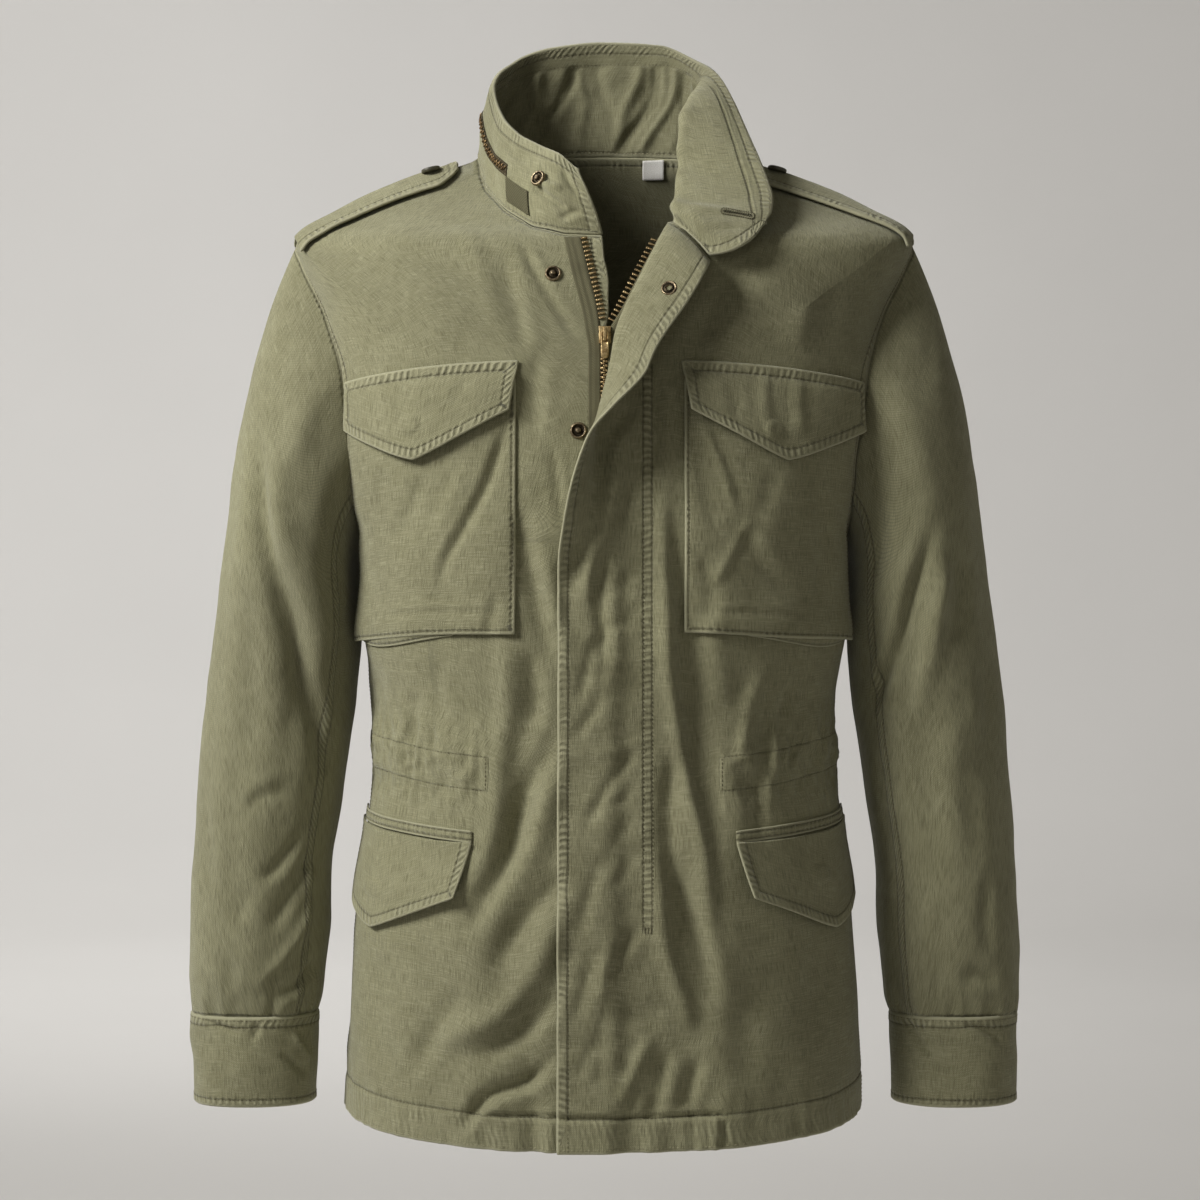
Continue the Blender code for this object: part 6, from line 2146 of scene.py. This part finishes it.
def build_cuff(name, side, look):
    """A closed cuff, doubled and stitched round both edges."""
    heights = np.concatenate((np.linspace(CUFF_RINGS[0][0], CUFF_FINE_Z, 8),
                              np.linspace(CUFF_FINE_Z, CUFF_RINGS[-1][0], 30)[1:]))[:, None]
    around_turns = np.linspace(0, 360, 150, endpoint=False)
    cuff = ring(CUFF_RINGS, heights, around_turns[None, :])
    out = grid_normals(cuff, True)
    swell = smooth((CUFF_RINGS[0][0] - heights) / 6) * np.ones(cuff.shape[:2])
    lift = 1.3 * uneven(cuff * (1, side, 1), 21.0, 51)
    for shift in (0, -360):
        places = np.broadcast_arrays(around_turns[None, :] + shift, heights)
        lift = lift + CUFF_GAIN * crease_heights(CUFF_CREASES[name], *places)
    cuff = cuff + out * (swell * lift)[..., None]
    inward = tube_inward(cuff, False)
    fields = seam_fields(cuff, {"low": 7.0, "high": 4.6})
    relief = seam_relief(cuff, fields, 0.4, 0.14)
    outer = mirrored(cuff - inward * relief[..., None], side)
    inner = mirrored(cuff + inward * DOUBLE, side)
    normals = mirrored(-inward, side)
    shell("cloth_cuff_" + name, outer, inner, look, ("cuff_" + name,), True, fields)
    for edge, distance in (("low", 7.0), ("low", 1.8), ("high", 4.6)):
        sew_edge(outer, normals, edge, distance)


def collar_seam(grids):
    """The panels' top edges from the right front's end round to the turned-out fly's."""
    left, right, back = (grids[key] for key in ("left", "right", "back"))
    fly = len(FLY_SHARES)
    top = left[0][-1, fly, 2:3]
    free = FLY_SHARES[FLY_SHARES > 0.55]
    fly_points = np.concatenate([fly_strip(top, np.array([share])) for share in free[::-1]])
    fly_points[:, 2] += COLLAR_FLY_RISE
    middle = back[0].shape[1] // 2
    seam = np.concatenate((
        neck_run(right[0], edge_right(FRONT_TOP_Z), FRONT_FIRST, False),
        neck_run(back[0][:, middle:], 0, BACK_FIRST, True)[::-1][1:],
        neck_run(back[0][:, :middle + 1], 0, BACK_FIRST, False)[1:-1],
        neck_run(left[0][:, fly:], edge_left(FRONT_TOP_Z), FRONT_FIRST, True)[::-1], fly_points))
    return fine_seam(seam, COLLAR_PITCH)


def collar_wall(walk, up, height_left):
    """Distance of the collar's wrinkled inside from its outside."""
    level = smooth(height_left / 8) * smooth((up - BAND) / 3)
    back_part = smooth((walk - 92) / 20) * smooth((436 - walk) / 26)
    waves = 0.9 * uneven(np.stack((walk + 0 * up, up, 0 * up), axis=-1), 13.0, 33)
    for place, height, width, slant in WRINKLES:
        away = walk - place - slant * (up - 45) - 3 * np.sin(up / 11 + place)
        waves = waves + 0.95 * height * bell(away / (0.8 * width))
    slack = level * back_part * (0.9 + 1.7 * waves)
    hem = 0.8 * (1 - smooth((up - BAND + 1) / 2)) * back_part
    return np.clip(DOUBLE + 0.5 + slack + hem, 1.2, 9.0)


def build_collar(grids, looks):
    """The collar on its seam, with its stitches."""
    seam = collar_seam(grids)
    walk = collar_walk(seam)
    fine_walk = np.linspace(0, COLLAR[-1][0], 300)
    spots = np.stack([np.interp(fine_walk, walk, seam[:, i]) for i in range(3)], axis=-1)
    shares = np.concatenate((np.linspace(0, 0.06, 4), np.linspace(0.06, 0.9, 38)[1:],
                             np.linspace(0.9, 1, 7)[1:]))
    outer, out = collar_points(spots, fine_walk, shares)
    outer, out = outer[::-1], out[::-1]
    edges = {"low": 8.0, "first": 7.5, "last": 7.5, "high": 2.2}
    fields = seam_fields(outer, edges)
    relief = seam_relief(outer, fields, 0.4, 0.15)
    up = edge_distances(outer)[2]
    fields["row"] = up - BAND + ROW_HALF
    fields["row_on"] = smooth((up - BAND + 5) / 2) * smooth((fine_walk - 432) / 10)
    thick = collar_wall(fine_walk, up, edge_distances(outer)[3])
    inner = outer - out * thick[..., None]
    outer = outer + out * relief[..., None]
    # The collar's inner face is painted darker round the back but not on the turned-out leaf:
    # partly less faded cloth, partly painted shade.
    shell("cloth_collar", outer, inner, looks["cloth"], ("collar",), fields=fields,
          unfaded_and_shade=smooth((436 - fine_walk) / 26))
    for grid, normals in ((outer, out), (inner, -out)):
        sew_edge(grid, normals, "low", 8.0, (7, 7))
        sew_edge(grid, normals, "first", 7.5, (2, 7))
        sew_edge(grid, normals, "last", 7.5, (2, 7))
        sew_edge(grid, normals, "high", 2.2, (1, 1), "light")
    sew_edge(inner, -out, "low", BAND, (7, 7))
    sew_edge(inner, -out, "low", 2.2, (2, 2), "light")
    return {"outer": outer, "inner": inner, "out": out, "walk": fine_walk,
            "share": shares[::-1]}


def collar_spots(collar, walks, shares, face="outer"):
    """Points and directions off the collar at walks along it and shares of its height."""
    walks, shares = np.broadcast_arrays(np.asarray(walks, float), np.asarray(shares, float))
    cols = np.interp(walks.ravel(), collar["walk"], np.arange(len(collar["walk"])))
    order = collar["share"][::-1]
    rows = np.interp(shares.ravel(), order, np.arange(len(order))[::-1])
    grid, out = pick(collar[face], rows, cols), pick(collar["out"], rows, cols)
    out = unit(out)
    out = out if face == "outer" else -out
    return grid.reshape(walks.shape + (3,)), out.reshape(walks.shape + (3,))


def on_collar(name, node, walks, shares, thickness, look, collar, rise=UNDER):
    """A thin piece sewn on the outside of the collar."""
    grid, out = collar_spots(collar, walks, shares)
    inner = grid + out * rise
    outer = inner + out * thickness
    fields = seam_fields(inner, {"first": 2.0, "last": 2.0, "low": 2.0, "high": 2.0})
    shell(name, outer, inner, look, (node,), fields=fields)
    for edge in ("first", "last", "low", "high"):
        sew_edge(outer, out, edge, 1.4)


def build_hood_zip(collar, looks):
    start, end, share, half = HOOD_ZIP
    walks = np.linspace(start, end, 160)
    low, _ = collar_spots(collar, walks, np.full(160, share - 0.06))
    high, _ = collar_spots(collar, walks, np.full(160, share + 0.06))
    tall = np.linalg.norm(high - low, axis=-1) / 0.12
    levels = np.linspace(-1, 1, 7)[:, None]
    on_collar("hood_zip_tape", "collar_hood_zip", walks[None, :],
              share + levels * half / tall, 0.35, looks["hood_tape"], collar, 0.35)
    count = int((end - start - 6) / 2.3)
    places = np.linspace(start + 3, end - 3, count)
    point, out = collar_spots(collar, places, np.full(count, share))
    ahead = np.gradient(point, axis=0)
    ahead = unit(ahead)
    up = np.cross(out, ahead)
    bar, faces = rounded_box((-0.6, -1.7, -0.5), (0.6, 1.7, 0.6), 0.25, 1)
    parts = []
    for index in range(count):
        base = np.stack((ahead[index], up[index], out[index]))
        shift = 0.7 if index % 2 else -0.7
        parts.append((point[index] + out[index] * 1.3 + (bar + (0, shift, 0)) @ base, faces))
    ride_new("hood_zip_teeth", *joined(parts), looks["brass_dark"])


BUTTONHOLE = ((89.5, -44.5), (111.5, -48.5))     # its ends as seen from the front
# Its rounds of thread: distance out of its outline, and the thread. The deep rounds are near-black
# thread that paints the shade of the slit and along the stitching's outer edge.
BUTTONHOLE_ROUNDS = ((-1.2, "deep"), (-0.5, "deep"), (0.2, "light"), (0.9, "light"),
                     (1.6, "deep"))


def build_buttonhole(collar):
    """Worked buttonhole on the turned leaf, found on its near face from the front."""
    tree = tree_of(collar["inner"], collar["outer"])
    start, end = (np.array(spot) for spot in BUTTONHOLE)
    length = np.linalg.norm(end - start)
    ahead = (end - start) / length
    side = np.array((-ahead[1], ahead[0]))
    for grow, shade in BUTTONHOLE_ROUNDS:
        loop = tab_outline(2.2 + grow, 0.8 + grow, 1.8 + grow, length / 2 + grow,
                           -length / 2 - grow, 120)
        loop = np.concatenate((loop, loop[:1]))
        flat = (start + end) / 2 + loop[:, 1:] * ahead + loop[:, :1] * side
        points, normals = [], []
        for x, z in flat:
            hit = tree.ray_cast(Vector((x, -400.0, z)), Vector((0, 1, 0)))
            normals.append(np.array(hit[1] if hit[1].y < 0 else -hit[1]))
            points.append(np.array(hit[0]) + normals[-1] * 0.55)
        sew(points, normals, shade, 1.7)


def build_label(looks):
    """The blank label inside the back's neckline."""
    x0, x1, z0, z1 = NECK_LABEL
    z = np.linspace(z0, z1, 12)[::-1, None]
    turn = 180 - np.degrees(np.arcsin((np.linspace(x0, x1, 14)[None, :]
                                       / column(SECTIONS, 1, z)) ** (SQUARE / 2)))
    far = drape(z, turn, -(CLOTH + 0.9))
    near = far - body_normal(z, turn) * LABEL_WALL
    shell("label_neck", near, far, looks["label"], ("neck_label",))


def build_snaps(grids, collar, looks):
    """Two studs on the front, the fly's socket and the collar's snap."""
    for name, (x, z) in STUDS.items():
        point, normal = front_point(np.array([x]), np.array([z]), 0.1)
        lathe("snap_" + name, STUD, point[0], normal[0], looks["bronze"], ("snap_stud_" + name,))
    z, share = FLY_SNAP
    spot = fly_strip(np.array([z, z, z - 4]), np.array([share, share + 0.1, share]))
    normal = Vector(np.cross(spot[1] - spot[0], spot[2] - spot[0])).normalized()
    normal = -normal if normal.y > 0 else normal
    tree = tree_of(grids["left"][0])
    hit = tree.ray_cast(Vector(spot[0]) + normal * 15, -normal, 30)
    foot = hit[0] + normal * 0.15 if hit[0] is not None else Vector(spot[0]) + normal * 1.0
    lathe("snap_socket", SOCKET, foot, normal, looks["bronze"], ("snap_socket_upper",))
    point, out = collar_spots(collar, [COLLAR_SNAP[0]], [COLLAR_SNAP[1]])
    lathe("snap_under_collar", STUD, point[0] + out[0] * 0.1, out[0], looks["bronze"],
          ("snap_collar",))


def build_stitching(looks):
    """All stitches of one thread as one piece."""
    for shade, parts in threads.items():
        points = np.concatenate(parts).reshape(-1, 3)
        starts = np.arange(0, len(points), 8)
        faces = [[start + i for i in face] for start in starts.tolist() for face in STITCH_FACES]
        ride_new("stitching_" + shade, points, faces, looks["thread_" + shade])


# ---------------------------------------------------------------------- stage
FLOOR_Z = -1.08
FLOOR_RADIUS = 4.2
WALL_REACH = 2.4


def build_stage():
    """A pale floor that sweeps up into a wall all round."""
    sweep = np.linspace(0, 90, 19)[1:]
    profile = [(r, FLOOR_Z) for r in (0, 0.6, 1.4, 2.6, FLOOR_RADIUS)]
    profile += [(FLOOR_RADIUS + WALL_REACH * math.sin(math.radians(a)),
                 FLOOR_Z + WALL_REACH * (1 - math.cos(math.radians(a)))) for a in sweep]
    profile.append((FLOOR_RADIUS + WALL_REACH, FLOOR_Z + 6.5))
    count = 96
    turns = np.arange(count) * math.tau / count
    points = [(0, 0, FLOOR_Z)]
    faces = []
    for r, z in profile[1:]:
        points += [(r * math.cos(a), r * math.sin(a), z) for a in turns]
    for i in range(count):
        j = (i + 1) % count
        faces.append((0, 1 + i, 1 + j))
        for row in range(len(profile) - 2):
            a = 1 + row * count
            faces.append((a + i, a + count + i, a + count + j, a + j))
    mesh = bpy.data.meshes.new("studio_floor")
    mesh.from_pydata(points, [], faces)
    mesh.shade_smooth()
    g = Graph("studio_paper")
    cloud = g.noise(g.place(), 1.6, 2.0)
    g.set(Base_Color=g.mix(cloud, rgb(208, 206, 203), rgb(214, 212, 209)), Roughness=0.95,
          Specular_IOR_Level=0.1, Emission_Color=rgb(206, 204, 200), Emission_Strength=0.06)
    mesh.materials.append(g.look)
    floor = bpy.data.objects.new("studio_floor", mesh)
    bpy.context.collection.objects.link(floor)


def add_light(name, place, aim, size, power, tint, spread):
    lamp = bpy.data.lights.new(name, "AREA")
    lamp.shape, lamp.size, lamp.energy, lamp.color = "DISK", size, power, tint
    lamp.spread = math.radians(spread)
    made = bpy.data.objects.new(name, lamp)
    made.location = place
    made.rotation_euler = (Vector(aim) - Vector(place)).to_track_quat("-Z", "Y").to_euler()
    made.visible_camera = False
    bpy.context.collection.objects.link(made)


# Area lights: name, place, aim, size, power, tint, spread in degrees.
LIGHTS = (
    ("key", (-1.95, -1.1, 1.1), (0, 0, 0.1), 1.1, 30.5, (1.0, 0.985, 0.96), 105),
    ("fill", (2.3, -1.5, 0.3), (0, 0, -0.1), 1.4, 1.5, (1.0, 0.96, 0.86), 180),
    ("front", (-0.5, -3.0, 0.6), (0, 0, -0.2), 1.6, 2.6, (1.0, 1.0, 1.0), 180),
    ("wall", (-1.7, 2.2, 2.6), (-0.6, 6.2, 0.3), 2.4, 91, (1.0, 1.0, 1.0), 140),
    ("floor", (-1.2, 2.0, 2.0), (-0.3, 2.2, -1.08), 2.0, 30, (1.0, 1.0, 1.0), 160),
)
CAMERA_PLACE = (-0.0031, -2.21, -0.337)


def build_studio():
    build_stage()
    for light in LIGHTS:
        add_light(*light)
    world = bpy.data.worlds.new("studio")
    world.use_nodes = True
    world.node_tree.nodes["Background"].inputs["Color"].default_value = rgb(232, 221, 192)
    world.node_tree.nodes["Background"].inputs["Strength"].default_value = 0.084
    scene = bpy.context.scene
    scene.world = world
    scene.view_settings.view_transform = "Standard"
    scene.view_settings.look = "None"
    lens = bpy.data.cameras.new("camera")
    lens.lens, lens.sensor_width = 85, 36
    lens.clip_start, lens.clip_end = 0.05, 50
    camera = bpy.data.objects.new("camera", lens)
    camera.location = CAMERA_PLACE
    camera.rotation_euler = (math.pi / 2, 0, 0)
    bpy.context.collection.objects.link(camera)
    scene.camera = camera


def build_jacket():
    looks = make_looks()
    grids = build_panels(looks)
    for name, side in SIDES:
        build_sleeve(name, side, looks["cloth"])
        build_cuff(name, side, looks["cloth"])
    collar = build_collar(grids, looks)
    panels = tree_of(*(grids[key][0] for key in ("right", "left", "back")))
    for name, side in SIDES:
        build_chest(name, side, looks["cloth"])
        build_chest_flap(name, side, looks["cloth"])
        build_hip(name, side, looks["cloth"])
        build_shoulder_loop(name, side, panels, looks["cloth"], looks["button"])
    build_zip(looks["tape"], looks["teeth"])
    build_slider(looks["brass"])
    build_hood_zip(collar, looks)
    start, end, low, high = COLLAR_PATCH
    on_collar("patch_neck", "collar_patch", np.linspace(start, end, 28)[None, :],
              np.linspace(low, high, 30)[::-1, None], 0.7, looks["patch"], collar)
    build_buttonhole(collar)
    build_label(looks)
    build_snaps(grids, collar, looks)
    build_stitching(looks)


build_jacket()
build_studio()
